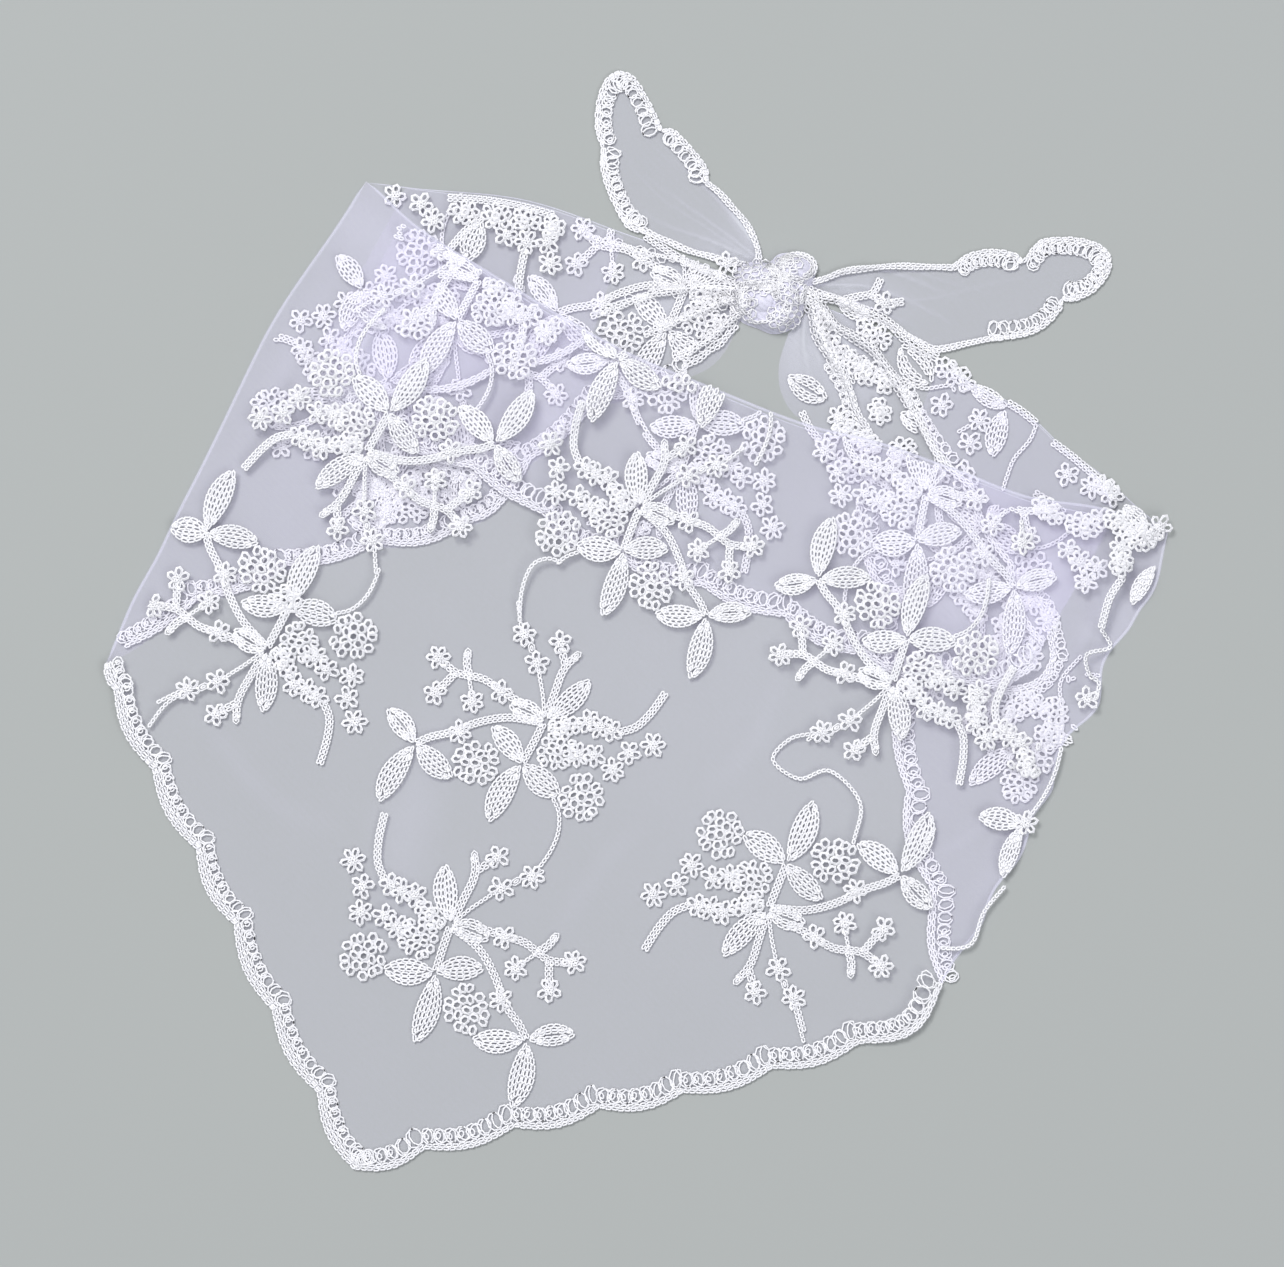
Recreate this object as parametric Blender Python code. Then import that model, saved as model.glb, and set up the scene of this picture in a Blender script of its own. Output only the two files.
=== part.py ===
"""Triangle lace scarf with its long edge turned in, tied in a loop and laid flat.

Metres, +Z up, +Y towards the knot. The origin is under the middle of the laid-out scarf, on the
surface that it lies on. The front panel runs from the left fold to the right fold and is uppermost.
Behind it the two back stretches run from the folds up to the knot, and the two ends leave the knot
as tails. The long edge is turned in all along, so each stretch has a turned-in strip on its inner
face. Every cut edge carries a scalloped border, a solid of its own beside the net.
"""

import math
from collections import namedtuple

import bmesh
import bpy
from mathutils import Vector

MM = 0.001

# Cloth
NET_WALL = 1.0 * MM
BORDER_WALL = 1.2 * MM
LAYER_PITCH = 1.5 * MM
SEAM_GAP = 0.3 * MM

# Scalloped border: its width inside the line of the scallops' feet, and how far they swell past it
BORDER_DEPTH = 6.0 * MM
SCALLOP_LENGTH = 30.0 * MM
SCALLOP_RISE = 3.5 * MM
WHOLE_RISE_LENGTH = 20.0 * MM  # a scallop shorter than this swells less
SCALLOP_STEPS = 6  # an even number, because the net has one column for every two
TAIL_BORDER_DEPTH = 3.6 * MM
TAIL_SCALLOP_RISE = 1.5 * MM
TAIL_SCALLOP_STEPS = 12

# How an upper stretch comes down beyond the edge of a lower one
LAP = 12.0 * MM
RAMP = 30.0 * MM
FOLD_ROLL = 9.0 * MM
FRONT_LOFT = 0.5 * MM  # the front panel lies a little more loosely than the layers inside
ROW_SPACING_POWER = 1.2  # rows lie closer together near the upper edge, where the layers are
MITRE_LIMIT = 0.5  # the sharpest corner that a sideways move follows, as a cosine

# Knot: a flattened lump, measured from its middle
KNOT_CENTRE = Vector((45.0, 108.6)) * MM
KNOT_HALF_WIDTH = 14.0 * MM
KNOT_HALF_LENGTH = 13.0 * MM
KNOT_TOP = 15.0 * MM
KNOT_WAIST = 5.0 * MM
KNOT_CLEARANCE = 0.5 * MM
KNOT_WRAPS = 5
KNOT_WRAP_TWIST = 3.0
KNOT_WRAP_DEPTH = 0.06
KNOT_SIDES = 24
KNOT_RINGS = 12

Station = namedtuple("Station", "x y")  # a point of an edge seen from above, in millimetres
Pleat = namedtuple("Pleat", "angle half_width rise reach")  # degrees, degrees, mm, mm
Fold = namedtuple("Fold", "from_x from_y to_x to_y half_width rise")  # all in millimetres
Bulge = namedtuple("Bulge", "along half_width out")  # shares of the edge's length, and mm
BowedEdge = namedtuple("BowedEdge", "start end bulges")  # two stations, and what bows out
Stretch = namedtuple("Stretch", "name top foot_runs rows lies_on")

FOLD_TOP_LEFT = Station(-89, 145)
FOLD_TOP_RIGHT = Station(176, 30)
FOLD_FOOT_LEFT = Station(-175, -14)
FOLD_FOOT_RIGHT = Station(101, -120)
APEX = Station(-93, -181)

# The front neckline, from the left fold to the right one
NECKLINE = (
    FOLD_TOP_LEFT,
    Station(-68, 126),
    Station(-35, 106),
    Station(-5, 89),
    Station(21, 78),
    Station(54, 65),
    Station(81, 58),
    Station(106, 49),
    Station(130, 40),
    FOLD_TOP_RIGHT,
)

# The turned-in strip's cut edge behind the front panel, clear of both folds
FRONT_TURN_IN_TOP = (
    Station(-77, 131),
    Station(-35, 105),
    Station(-5, 88),
    Station(21, 77),
    Station(54, 64),
    Station(81, 57),
    Station(106, 48),
    Station(130, 39),
    Station(155, 32),
)
FRONT_TURN_IN_FOOT = (
    Station(-105, 78),
    Station(-78, 62),
    Station(-41, 44),
    Station(-24, 30),
    Station(2, 18),
    Station(39, 6),
    Station(78, -12),
    Station(112, -19),
    Station(131, -15),
)

# Left back stretch: its folded upper edge and its scalloped cut edge, from the fold to the knot
BACK_LEFT_TOP = (
    FOLD_TOP_LEFT,
    Station(-61, 141),
    Station(-25, 134),
    Station(2, 126),
    Station(31, 114),
)
BACK_LEFT_FOOT = (
    FOLD_FOOT_LEFT,
    Station(-147, 6),
    Station(-104, 22),
    Station(-58, 32),
    Station(-42, 46),
    Station(-16, 71),
    Station(17, 82),
    Station(35, 99),
)
BACK_LEFT_TURN_IN_TOP = (
    Station(-76, 143),
    Station(-61, 140),
    Station(-25, 133),
    Station(-4, 127),
)
BACK_LEFT_TURN_IN_FOOT = (
    Station(-105, 84),
    Station(-78, 76),
    Station(-38, 86),
    Station(-14, 94),
)

# Right back stretch
BACK_RIGHT_TOP = (
    FOLD_TOP_RIGHT,
    Station(156, 43),
    Station(131, 66),
    Station(113, 78),
    Station(85, 94),
    Station(59, 105),
)
BACK_RIGHT_FOOT = (
    FOLD_FOOT_RIGHT,
    Station(97.5, -92),
    Station(90.5, -63),
    Station(88, -37),
    Station(83, -10),
    Station(79.5, 16),
    Station(73, 40),
    Station(62, 59),
    Station(53, 70),
    Station(50, 82),
    Station(50, 95),
)
BACK_RIGHT_TURN_IN_TOP = (
    Station(157, 34),
    Station(150, 46),
    Station(131, 65),
    Station(113, 77),
    Station(100, 84),
)
BACK_RIGHT_TURN_IN_FOOT = (
    Station(134, -8),
    Station(127, 8),
    Station(119, 28),
    Station(106, 50),
    Station(93, 67),
)

# The tails' edges, out from the knot to the tip and back
TAIL_LEFT_EDGE = (
    Station(36, 118),
    Station(20, 122),
    Station(4, 128),
    Station(-5, 140),
    Station(-10, 151),
    Station(-13, 163),
    Station(-12, 174),
    Station(-5, 181),
    Station(1, 178),
    Station(6, 169),
    Station(13, 161),
    Station(22, 151),
    Station(30, 141),
    Station(37, 132),
    Station(43, 121),
)
TAIL_RIGHT_EDGE = (
    Station(57, 116),
    Station(71, 117),
    Station(87, 118),
    Station(104, 119),
    Station(120, 121),
    Station(135, 124),
    Station(148, 126),
    Station(155, 121),
    Station(153, 113),
    Station(145, 107),
    Station(135, 101),
    Station(122, 94),
    Station(107, 91),
    Station(92, 93),
    Station(81, 99),
    Station(59.5, 108.5),
)

# The front panel's cut edge, scallop by scallop, from fold to apex and from apex to fold
FRONT_NOTCHES = (
    FOLD_FOOT_LEFT,
    Station(-171.9, -22.7),
    Station(-159.6, -48.8),
    Station(-145.1, -75.3),
    Station(-132.6, -100.2),
    Station(-120.0, -128.5),
    Station(-105.0, -155.7),
    APEX,
    Station(-69.9, -174.3),
    Station(-40.2, -167.1),
    Station(-12.0, -160.8),
    Station(15.7, -155.7),
    Station(45.2, -147.6),
    Station(73.7, -139.4),
)
FRONT_FEET = (
    *zip(FRONT_NOTCHES, FRONT_NOTCHES[1:]),
    (FRONT_NOTCHES[-1], Station(90, -133), FOLD_FOOT_RIGHT),
)

BACKS = ("back_left", "back_right")
BACK_STRIPS = ("back_left_turn_in", "back_right_turn_in")

STRETCHES = (
    Stretch("back_left", BACK_LEFT_TOP, (BACK_LEFT_FOOT,), 9, ()),
    Stretch("back_right", BACK_RIGHT_TOP, (BACK_RIGHT_FOOT,), 13, ()),
    Stretch(
        "back_left_turn_in",
        BACK_LEFT_TURN_IN_TOP,
        (BACK_LEFT_TURN_IN_FOOT,),
        4,
        ("back_left",),
    ),
    Stretch(
        "back_right_turn_in",
        BACK_RIGHT_TURN_IN_TOP,
        (BACK_RIGHT_TURN_IN_FOOT,),
        4,
        ("back_right",),
    ),
    Stretch(
        "front_turn_in",
        FRONT_TURN_IN_TOP,
        (FRONT_TURN_IN_FOOT,),
        6,
        BACKS + BACK_STRIPS,
    ),
    Stretch(
        "front_panel",
        NECKLINE,
        FRONT_FEET,
        16,
        BACKS + BACK_STRIPS + ("front_turn_in",),
    ),
)

# Gathers that fan out from the knot, by direction from its middle
PLEATS = (
    Pleat(-24, 6, 3.0, 42),
    Pleat(-39, 6, 4.5, 46),
    Pleat(-55, 6, 4.0, 40),
    Pleat(-71, 6, 3.0, 34),
    Pleat(167, 6, 3.0, 44),
    Pleat(182, 7, 4.0, 40),
    Pleat(199, 7, 3.5, 36),
    Pleat(215, 6, 2.5, 30),
)

# Soft folds of the front panel
FRONT_FOLDS = (
    Fold(-5, 86, -40, 48, 9, 2.4),
    Fold(-70, 118, -100, 60, 11, 2.0),
    Fold(110, 42, 96, -40, 10, 2.2),
    Fold(140, 32, 122, -30, 10, 2.6),
    Fold(40, 66, 20, 10, 12, 1.4),
    Fold(-60, -20, -84, -120, 16, 1.6),
)

# Edges that bow outwards to their left, and where along them
BOWED_EDGES = (
    BowedEdge(
        FOLD_FOOT_LEFT,
        FOLD_TOP_LEFT,
        (Bulge(0.67, 0.33, 4.6), Bulge(0.35, 0.30, 2.6), Bulge(0.12, 0.12, 1.4)),
    ),
    BowedEdge(FOLD_TOP_LEFT, Station(34, 116), (Bulge(0.40, 0.30, 2.6),)),
    BowedEdge(
        Station(59, 105),
        FOLD_TOP_RIGHT,
        (Bulge(0.81, 0.17, 2.8), Bulge(0.58, 0.15, 1.0)),
    ),
    BowedEdge(
        FOLD_TOP_RIGHT,
        FOLD_FOOT_RIGHT,
        (
            Bulge(0.12, 0.12, 3.9),
            Bulge(0.215, 0.06, 1.8),
            Bulge(0.375, 0.09, 4.6),
            Bulge(0.565, 0.075, 3.6),
            Bulge(0.70, 0.13, 4.2),
            Bulge(0.86, 0.10, 2.8),
        ),
    ),
)
BULGE_REACH = 30.0 * MM

# Tails: columns along the edge, and where the border starts and ends, as shares of the edge
TAIL_STEPS = 36
TAIL_ROWS = 6
TAIL_LEFT_BORDER = (0.20, 0.72)
TAIL_RIGHT_BORDER = (0.28, 0.74)

PALE_NET = (0.86, 0.86, 0.93, 1.0)
WHITE_THREAD = (0.93, 0.93, 0.96, 1.0)


def clear_scene():
    for item in list(bpy.data.objects):
        bpy.data.objects.remove(item, do_unlink=True)


def make_material(name, colour, roughness):
    material = bpy.data.materials.new(name)
    material.use_nodes = True
    shader = material.node_tree.nodes["Principled BSDF"]
    shader.inputs["Base Color"].default_value = colour
    shader.inputs["Roughness"].default_value = roughness
    shader.inputs["Metallic"].default_value = 0.0
    return material


def ease(share):
    """0 below 0, 1 above 1, and a smooth S between them."""
    share = min(max(share, 0.0), 1.0)
    return share * share * (3.0 - 2.0 * share)


def smooth_line(stations, steps=6):
    """A Catmull-Rom curve through the stations, in metres, or the straight line between two."""
    points = [Vector(station) * MM for station in stations]
    if len(points) == 2:
        return points
    ends = [2 * points[0] - points[1], *points, 2 * points[-1] - points[-2]]
    line = []
    for before, start, end, after in zip(ends, ends[1:], ends[2:], ends[3:]):
        for step in range(steps):
            t = step / steps
            slope = 2 * before - 5 * start + 4 * end - after
            twist = 3 * start - before - 3 * end + after
            line.append(start + 0.5 * t * (end - before + t * (slope + t * twist)))
    return [*line, points[-1]]


def spread(line, count):
    """count + 1 points at equal distances along a line."""
    lengths = [0.0]
    for start, end in zip(line, line[1:]):
        lengths.append(lengths[-1] + (end - start).length)
    points, span = [], 0
    for index in range(count + 1):
        target = lengths[-1] * index / count
        while span < len(line) - 2 and lengths[span + 1] < target:
            span += 1
        share = (target - lengths[span]) / (lengths[span + 1] - lengths[span])
        points.append(line[span].lerp(line[span + 1], share))
    return points


def join_runs(runs):
    """One list of points from runs that start where the last one ended."""
    joined = list(runs[0])
    for run in runs[1:]:
        joined.extend(run[1:])
    return joined


def moved_sideways(points, distances):
    """Each point moved to the right of the line's direction, with mitred corners."""
    moved = []
    for index, point in enumerate(points):
        sides = []
        if index > 0:
            sides.append((point - points[index - 1]).normalized())
        if index < len(points) - 1:
            sides.append((points[index + 1] - point).normalized())
        normals = [Vector((way.y, -way.x)) for way in sides]
        middle = sum(normals, Vector((0.0, 0.0))).normalized()
        mitre = max(middle.dot(normals[0]), MITRE_LIMIT)
        moved.append(point + middle * distances[index] / mitre)
    return moved


def scalloped(runs):
    """The feet of the scallops along the runs, and how far each point swells past them."""
    feet_runs, rises = [], []
    for run in runs:
        length = sum((end - start).length for start, end in zip(run, run[1:]))
        count = max(1, round(length / SCALLOP_LENGTH)) * SCALLOP_STEPS
        feet_runs.append(spread(run, count))
        rise = SCALLOP_RISE * min(1.0, length / WHOLE_RISE_LENGTH)
        run_rises = [
            rise * abs(math.sin(math.pi * step / SCALLOP_STEPS))
            for step in range(count + 1)
        ]
        rises.extend(run_rises[1:] if rises else run_rises)
    return join_runs(feet_runs), rises


def with_middles(line):
    """The line's points with the middle of each span between them."""
    doubled = []
    for start, end in zip(line, line[1:]):
        doubled.extend((start, (start + end) / 2))
    return [*doubled, line[-1]]


def outward_sign(top, foot):
    """+1 where the cut edge lies to the right of its own direction, seen from the upper edge."""
    along = foot[-1] - foot[0]
    away = foot[len(foot) // 2] - top[len(top) // 2]
    return 1.0 if away.x * along.y - away.y * along.x > 0 else -1.0


def inside(point, outline):
    """True if the point is in the closed outline, by counting crossings."""
    crossings = 0
    for start, end in zip(outline, outline[1:] + outline[:1]):
        if (start.y > point.y) != (end.y > point.y):
            share = (point.y - start.y) / (end.y - start.y)
            crossings += point.x < start.x + share * (end.x - start.x)
    return crossings % 2 == 1


def distance_to_span(point, start, end):
    along = end - start
    share = (point - start).dot(along) / max(along.length_squared, 1e-12)
    return (point - start - along * min(max(share, 0.0), 1.0)).length


def cover(point, outline):
    """1 over a stretch and LAP beyond its edge, easing to 0 over the RAMP outside that."""
    if inside(point, outline):
        return 1.0
    spans = zip(outline, outline[1:] + outline[:1])
    distance = min(distance_to_span(point, start, end) for start, end in spans)
    return 1.0 - ease((distance - LAP) / RAMP)


def clear_of_knot(point):
    """The point, or the nearest one on the knot's rim if it lies inside."""
    away = point - KNOT_CENTRE
    half_width = KNOT_HALF_WIDTH + KNOT_CLEARANCE
    half_length = KNOT_HALF_LENGTH + KNOT_CLEARANCE
    share = math.hypot(away.x / half_width, away.y / half_length)
    return KNOT_CENTRE + away / share if share < 1.0 else point


def pushed_out(point):
    """The point moved outwards with each bowed edge's bulges, less the further it is from the edge."""
    moved = point.copy()
    for edge in BOWED_EDGES:
        start, end = smooth_line((edge.start, edge.end))
        along = end - start
        share = (point - start).dot(along) / along.length_squared
        swell = sum(
            bulge.out * MM * (1.0 - ease(abs(share - bulge.along) / bulge.half_width))
            for bulge in edge.bulges
        )
        near = 1.0 - ease(distance_to_span(point, start, end) / BULGE_REACH)
        moved += Vector((-along.y, along.x)).normalized() * swell * near
    return moved


def pleat_height(point):
    """The gathers' height: a ridge along each pleat's direction, dying away from the knot."""
    away = point - KNOT_CENTRE
    bearing = math.degrees(math.atan2(away.y, away.x))
    height = 0.0
    for pleat in PLEATS:
        turn = (bearing - pleat.angle + 180.0) % 360.0 - 180.0
        across = 1.0 - ease(abs(turn) / pleat.half_width)
        start = KNOT_HALF_WIDTH
        along = 1.0 - ease((away.length - start) / (pleat.reach * MM))
        height = max(height, pleat.rise * MM * across * along)
    return height


def fold_height(point):
    """The soft folds' height: a rounded ridge along each fold, with tapered ends."""
    height = 0.0
    for fold in FRONT_FOLDS:
        start = Vector((fold.from_x, fold.from_y)) * MM
        along = Vector((fold.to_x, fold.to_y)) * MM - start
        share = (point - start).dot(along) / along.length_squared
        taper = math.sin(math.pi * min(max(share, 0.0), 1.0))
        distance = distance_to_span(point, start, start + along)
        ridge = 1.0 - ease(distance / (fold.half_width * MM))
        height = max(height, fold.rise * MM * ridge * taper)
    return height


def rest_height(name, point, lies_on, outlines):
    """The underside's height over the stretches beneath, with the stretch's own folds added."""
    if name in BACKS:
        return pleat_height(point)
    over_backs = sum(cover(point, outlines[below]) for below in lies_on if below in BACKS)
    over_strips = sum(cover(point, outlines[below]) for below in lies_on if below not in BACKS)
    if name != "front_panel":
        return LAYER_PITCH * (over_backs + over_strips)
    loft = FRONT_LOFT * min(over_backs + over_strips, 1.0)
    folds = ((FOLD_TOP_LEFT, FOLD_FOOT_LEFT), (FOLD_TOP_RIGHT, FOLD_FOOT_RIGHT))
    from_fold = min(distance_to_span(point, *smooth_line(fold)) for fold in folds)
    roll = ease(from_fold / FOLD_ROLL)
    loose = loft + roll * fold_height(point)
    return LAYER_PITCH * (over_backs + roll * over_strips) + loose


def wall_object(name, rows, wall, material, collection):
    """A closed wall on a grid of underside points, with its upper face straight above them."""
    bm = bmesh.new()
    grid = [[bm.verts.new(point) for point in row] for row in rows]
    faces = []
    for lower, upper in zip(grid, grid[1:]):
        for index in range(len(lower) - 1):
            corners = (lower[index], lower[index + 1], upper[index + 1], upper[index])
            faces.append(bm.faces.new(corners))
    lifted = bmesh.ops.extrude_face_region(bm, geom=faces, use_keep_orig=True)
    tops = [item for item in lifted["geom"] if isinstance(item, bmesh.types.BMVert)]
    bmesh.ops.translate(bm, verts=tops, vec=(0.0, 0.0, wall))
    bmesh.ops.recalc_face_normals(bm, faces=bm.faces)
    if bm.calc_volume(signed=True) < 0.0:
        bmesh.ops.reverse_faces(bm, faces=bm.faces)
    mesh = bpy.data.meshes.new(name)
    bm.to_mesh(mesh)
    bm.free()
    mesh.materials.append(material)
    part = bpy.data.objects.new(name, mesh)
    collection.objects.link(part)
    return part


def moved_in(base, top, side, distance):
    """The cut edge moved in from the border, its ends along the lines to the upper edge."""
    moved = moved_sideways(base, [-side * distance] * len(base))
    for end in (0, -1):
        moved[end] = base[end] + (top[end] - base[end]).normalized() * distance
    return moved


def row_shares(rows):
    """How far down from the upper edge each row lies, from 0 to 1."""
    return [(row / rows) ** ROW_SPACING_POWER for row in range(rows + 1)]


def make_stretch(stretch, outlines, materials, collection):
    """The net of a stretch, ruled from its upper edge to the border, and the border outside it."""
    foot_lines = [smooth_line(run) for run in stretch.foot_runs]
    top_line = smooth_line(stretch.top)
    side = outward_sign(top_line, join_runs(foot_lines))
    feet, rises = scalloped(foot_lines)
    outer = moved_sideways(feet, [side * rise for rise in rises])
    base = feet[::2]
    top = spread(top_line, len(base) - 1)
    inner = moved_in(base, top, side, BORDER_DEPTH)
    hem = moved_in(base, top, side, BORDER_DEPTH + SEAM_GAP)

    def placed(point):
        height = rest_height(stretch.name, clear_of_knot(point), stretch.lies_on, outlines)
        return pushed_out(clear_of_knot(point)).to_3d() + Vector((0.0, 0.0, height))

    net_rows = [
        [placed(start.lerp(end, share)) for start, end in zip(top, hem)]
        for share in row_shares(stretch.rows)
    ]
    wall_object(stretch.name, net_rows, NET_WALL, materials["net"], collection)
    border_rows = [[placed(point) for point in line] for line in (with_middles(inner), outer)]
    border_name = stretch.name + "_border"
    wall_object(border_name, border_rows, BORDER_WALL, materials["thread"], collection)
    outlines[stretch.name] = [*top, *reversed(outer)]


def make_tail(name, stations, border_span, materials, collection):
    """A tail: net ruled across from edge to edge, and a scalloped border round its tip."""
    path = spread(smooth_line(stations), TAIL_STEPS)
    first, last = (round(share * TAIL_STEPS) for share in border_span)
    base = path[first : last + 1]
    side = outward_sign([sum(base, Vector((0.0, 0.0))) / len(base)], base)
    steps = range(len(base) * 2 - 1)
    turns = [math.pi * step / TAIL_SCALLOP_STEPS for step in steps]
    rises = [TAIL_SCALLOP_RISE * abs(math.sin(turn)) for turn in turns]
    outer = moved_sideways(with_middles(base), [side * rise for rise in rises])
    inner = with_middles(moved_sideways(base, [-side * TAIL_BORDER_DEPTH] * len(base)))
    border_rows = [[point.to_3d() for point in line] for line in (inner, outer)]
    wall_object(name + "_border", border_rows, BORDER_WALL, materials["thread"], collection)

    hem_distance = -side * (TAIL_BORDER_DEPTH + SEAM_GAP)
    hem = [clear_of_knot(point) for point in path]
    hem[first : last + 1] = moved_sideways(base, [hem_distance] * len(base))
    net_rows = []
    for start, end in list(zip(hem, reversed(hem)))[: TAIL_STEPS // 2 - 1]:
        across = [start.lerp(end, row / TAIL_ROWS) for row in range(TAIL_ROWS + 1)]
        net_rows.append([clear_of_knot(point).to_3d() for point in across])
    wall_object(name, net_rows, NET_WALL, materials["net"], collection)


def make_knot(material, collection):
    """A dome over an upright waist, flat underneath, with the wraps' grooves round it."""
    bpy.ops.mesh.primitive_uv_sphere_add(segments=KNOT_SIDES, ring_count=KNOT_RINGS, radius=1.0)
    knot = bpy.context.object
    knot.name = "knot"
    for vertex in knot.data.vertices:
        around = math.atan2(vertex.co.y, vertex.co.x)
        wave = math.cos(KNOT_WRAPS * around + KNOT_WRAP_TWIST * vertex.co.z)
        groove = 1.0 - KNOT_WRAP_DEPTH * (0.5 + 0.5 * wave)
        height = KNOT_WAIST + vertex.co.z * (KNOT_TOP - KNOT_WAIST)
        if 0.0 <= height < KNOT_WAIST:
            vertex.co.xy = vertex.co.xy.normalized()
        vertex.co.x = KNOT_CENTRE.x + vertex.co.x * KNOT_HALF_WIDTH * groove
        vertex.co.y = KNOT_CENTRE.y + vertex.co.y * KNOT_HALF_LENGTH * groove
        vertex.co.z = max(height * (groove if height > KNOT_WAIST else 1.0), 0.0)
    knot.data.materials.append(material)
    for owner in list(knot.users_collection):
        owner.objects.unlink(knot)
    collection.objects.link(knot)
    knot.data.shade_smooth()


def centre_on_origin(collection):
    """Moves every mesh by the same step in plan, so that the outline's middle is the origin."""
    points = [vertex.co for part in collection.objects for vertex in part.data.vertices]
    low = Vector(min(point[axis] for point in points) for axis in range(2))
    high = Vector(max(point[axis] for point in points) for axis in range(2))
    step = -((low + high) / 2).to_3d()
    for part in collection.objects:
        for vertex in part.data.vertices:
            vertex.co += step


def main():
    clear_scene()
    collection = bpy.data.collections.new("lace_scarf")
    bpy.context.scene.collection.children.link(collection)
    materials = {
        "net": make_material("pale_net", PALE_NET, 0.6),
        "thread": make_material("white_thread", WHITE_THREAD, 0.5),
    }
    outlines = {}
    for stretch in STRETCHES:
        make_stretch(stretch, outlines, materials, collection)
    make_tail("tail_left", TAIL_LEFT_EDGE, TAIL_LEFT_BORDER, materials, collection)
    make_tail("tail_right", TAIL_RIGHT_EDGE, TAIL_RIGHT_BORDER, materials, collection)
    make_knot(materials["thread"], collection)
    centre_on_origin(collection)


main()
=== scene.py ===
"""Looks of the triangle lace scarf: sheer net, chain-stitch sprays, a scalloped border, a knot."""

from collections import namedtuple

import bpy
import numpy as np
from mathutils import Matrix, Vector


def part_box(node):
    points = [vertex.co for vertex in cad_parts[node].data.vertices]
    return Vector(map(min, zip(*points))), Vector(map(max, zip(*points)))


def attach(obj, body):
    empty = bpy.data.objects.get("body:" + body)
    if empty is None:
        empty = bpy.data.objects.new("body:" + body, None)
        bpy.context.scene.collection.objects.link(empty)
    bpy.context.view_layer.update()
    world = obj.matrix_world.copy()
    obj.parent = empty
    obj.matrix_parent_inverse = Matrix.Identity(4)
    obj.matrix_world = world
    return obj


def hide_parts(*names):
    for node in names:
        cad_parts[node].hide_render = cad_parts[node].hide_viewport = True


MM = 0.001
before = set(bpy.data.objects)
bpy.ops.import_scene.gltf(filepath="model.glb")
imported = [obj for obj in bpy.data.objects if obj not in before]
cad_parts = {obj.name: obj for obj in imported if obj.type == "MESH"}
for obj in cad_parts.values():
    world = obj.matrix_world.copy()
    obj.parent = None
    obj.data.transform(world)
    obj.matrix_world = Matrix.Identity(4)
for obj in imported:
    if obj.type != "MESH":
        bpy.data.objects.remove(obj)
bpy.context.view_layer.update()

# ------------------------ the laid-out cloth, in mm

# The layers' stations are written about the cut's own middle; the frame's middle is a little off it
FOLD_TOP_LEFT = (-89, 145)
FOLD_TOP_RIGHT = (176, 30)
FOLD_FOOT_LEFT = (-175, -14)
FOLD_FOOT_RIGHT = (101, -120)
APEX = (-93, -181)
front_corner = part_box("front_panel")[1]
SHIFT = np.array([front_corner.x, front_corner.y]) / MM - (FOLD_TOP_RIGHT[0], FOLD_TOP_LEFT[1])

NECKLINE = (
    FOLD_TOP_LEFT, (-68, 126), (-35, 106), (-5, 89), (21, 78), (54, 65), (81, 58), (106, 49),
    (130, 40), FOLD_TOP_RIGHT,
)
FRONT_TURN_IN_TOP = (
    (-77, 131), (-35, 105), (-5, 88), (21, 77), (54, 64), (81, 57), (106, 48), (130, 39), (155, 32),
)
FRONT_TURN_IN_FOOT = (
    (-105, 78), (-78, 62), (-41, 44), (-24, 30), (2, 18), (39, 6), (78, -12), (112, -19),
    (131, -15),
)
BACK_LEFT_TOP = (FOLD_TOP_LEFT, (-61, 141), (-25, 134), (2, 126), (31, 114))
BACK_LEFT_FOOT = (
    FOLD_FOOT_LEFT, (-147, 6), (-104, 22), (-58, 32), (-42, 46), (-16, 71), (17, 82), (35, 99),
)
BACK_LEFT_TURN_IN_TOP = ((-76, 143), (-61, 140), (-25, 133), (-4, 127))
BACK_LEFT_TURN_IN_FOOT = ((-105, 84), (-78, 76), (-38, 86), (-14, 94))
BACK_RIGHT_TOP = (FOLD_TOP_RIGHT, (156, 43), (131, 66), (113, 78), (85, 94), (59, 105))
BACK_RIGHT_FOOT = (
    FOLD_FOOT_RIGHT, (97.5, -92), (90.5, -63), (88, -37), (83, -10), (79.5, 16), (73, 40), (62, 59),
    (53, 70), (50, 82), (50, 95),
)
BACK_RIGHT_TURN_IN_TOP = ((157, 34), (150, 46), (131, 65), (113, 77), (100, 84))
BACK_RIGHT_TURN_IN_FOOT = ((134, -8), (127, 8), (119, 28), (106, 50), (93, 67))
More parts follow.
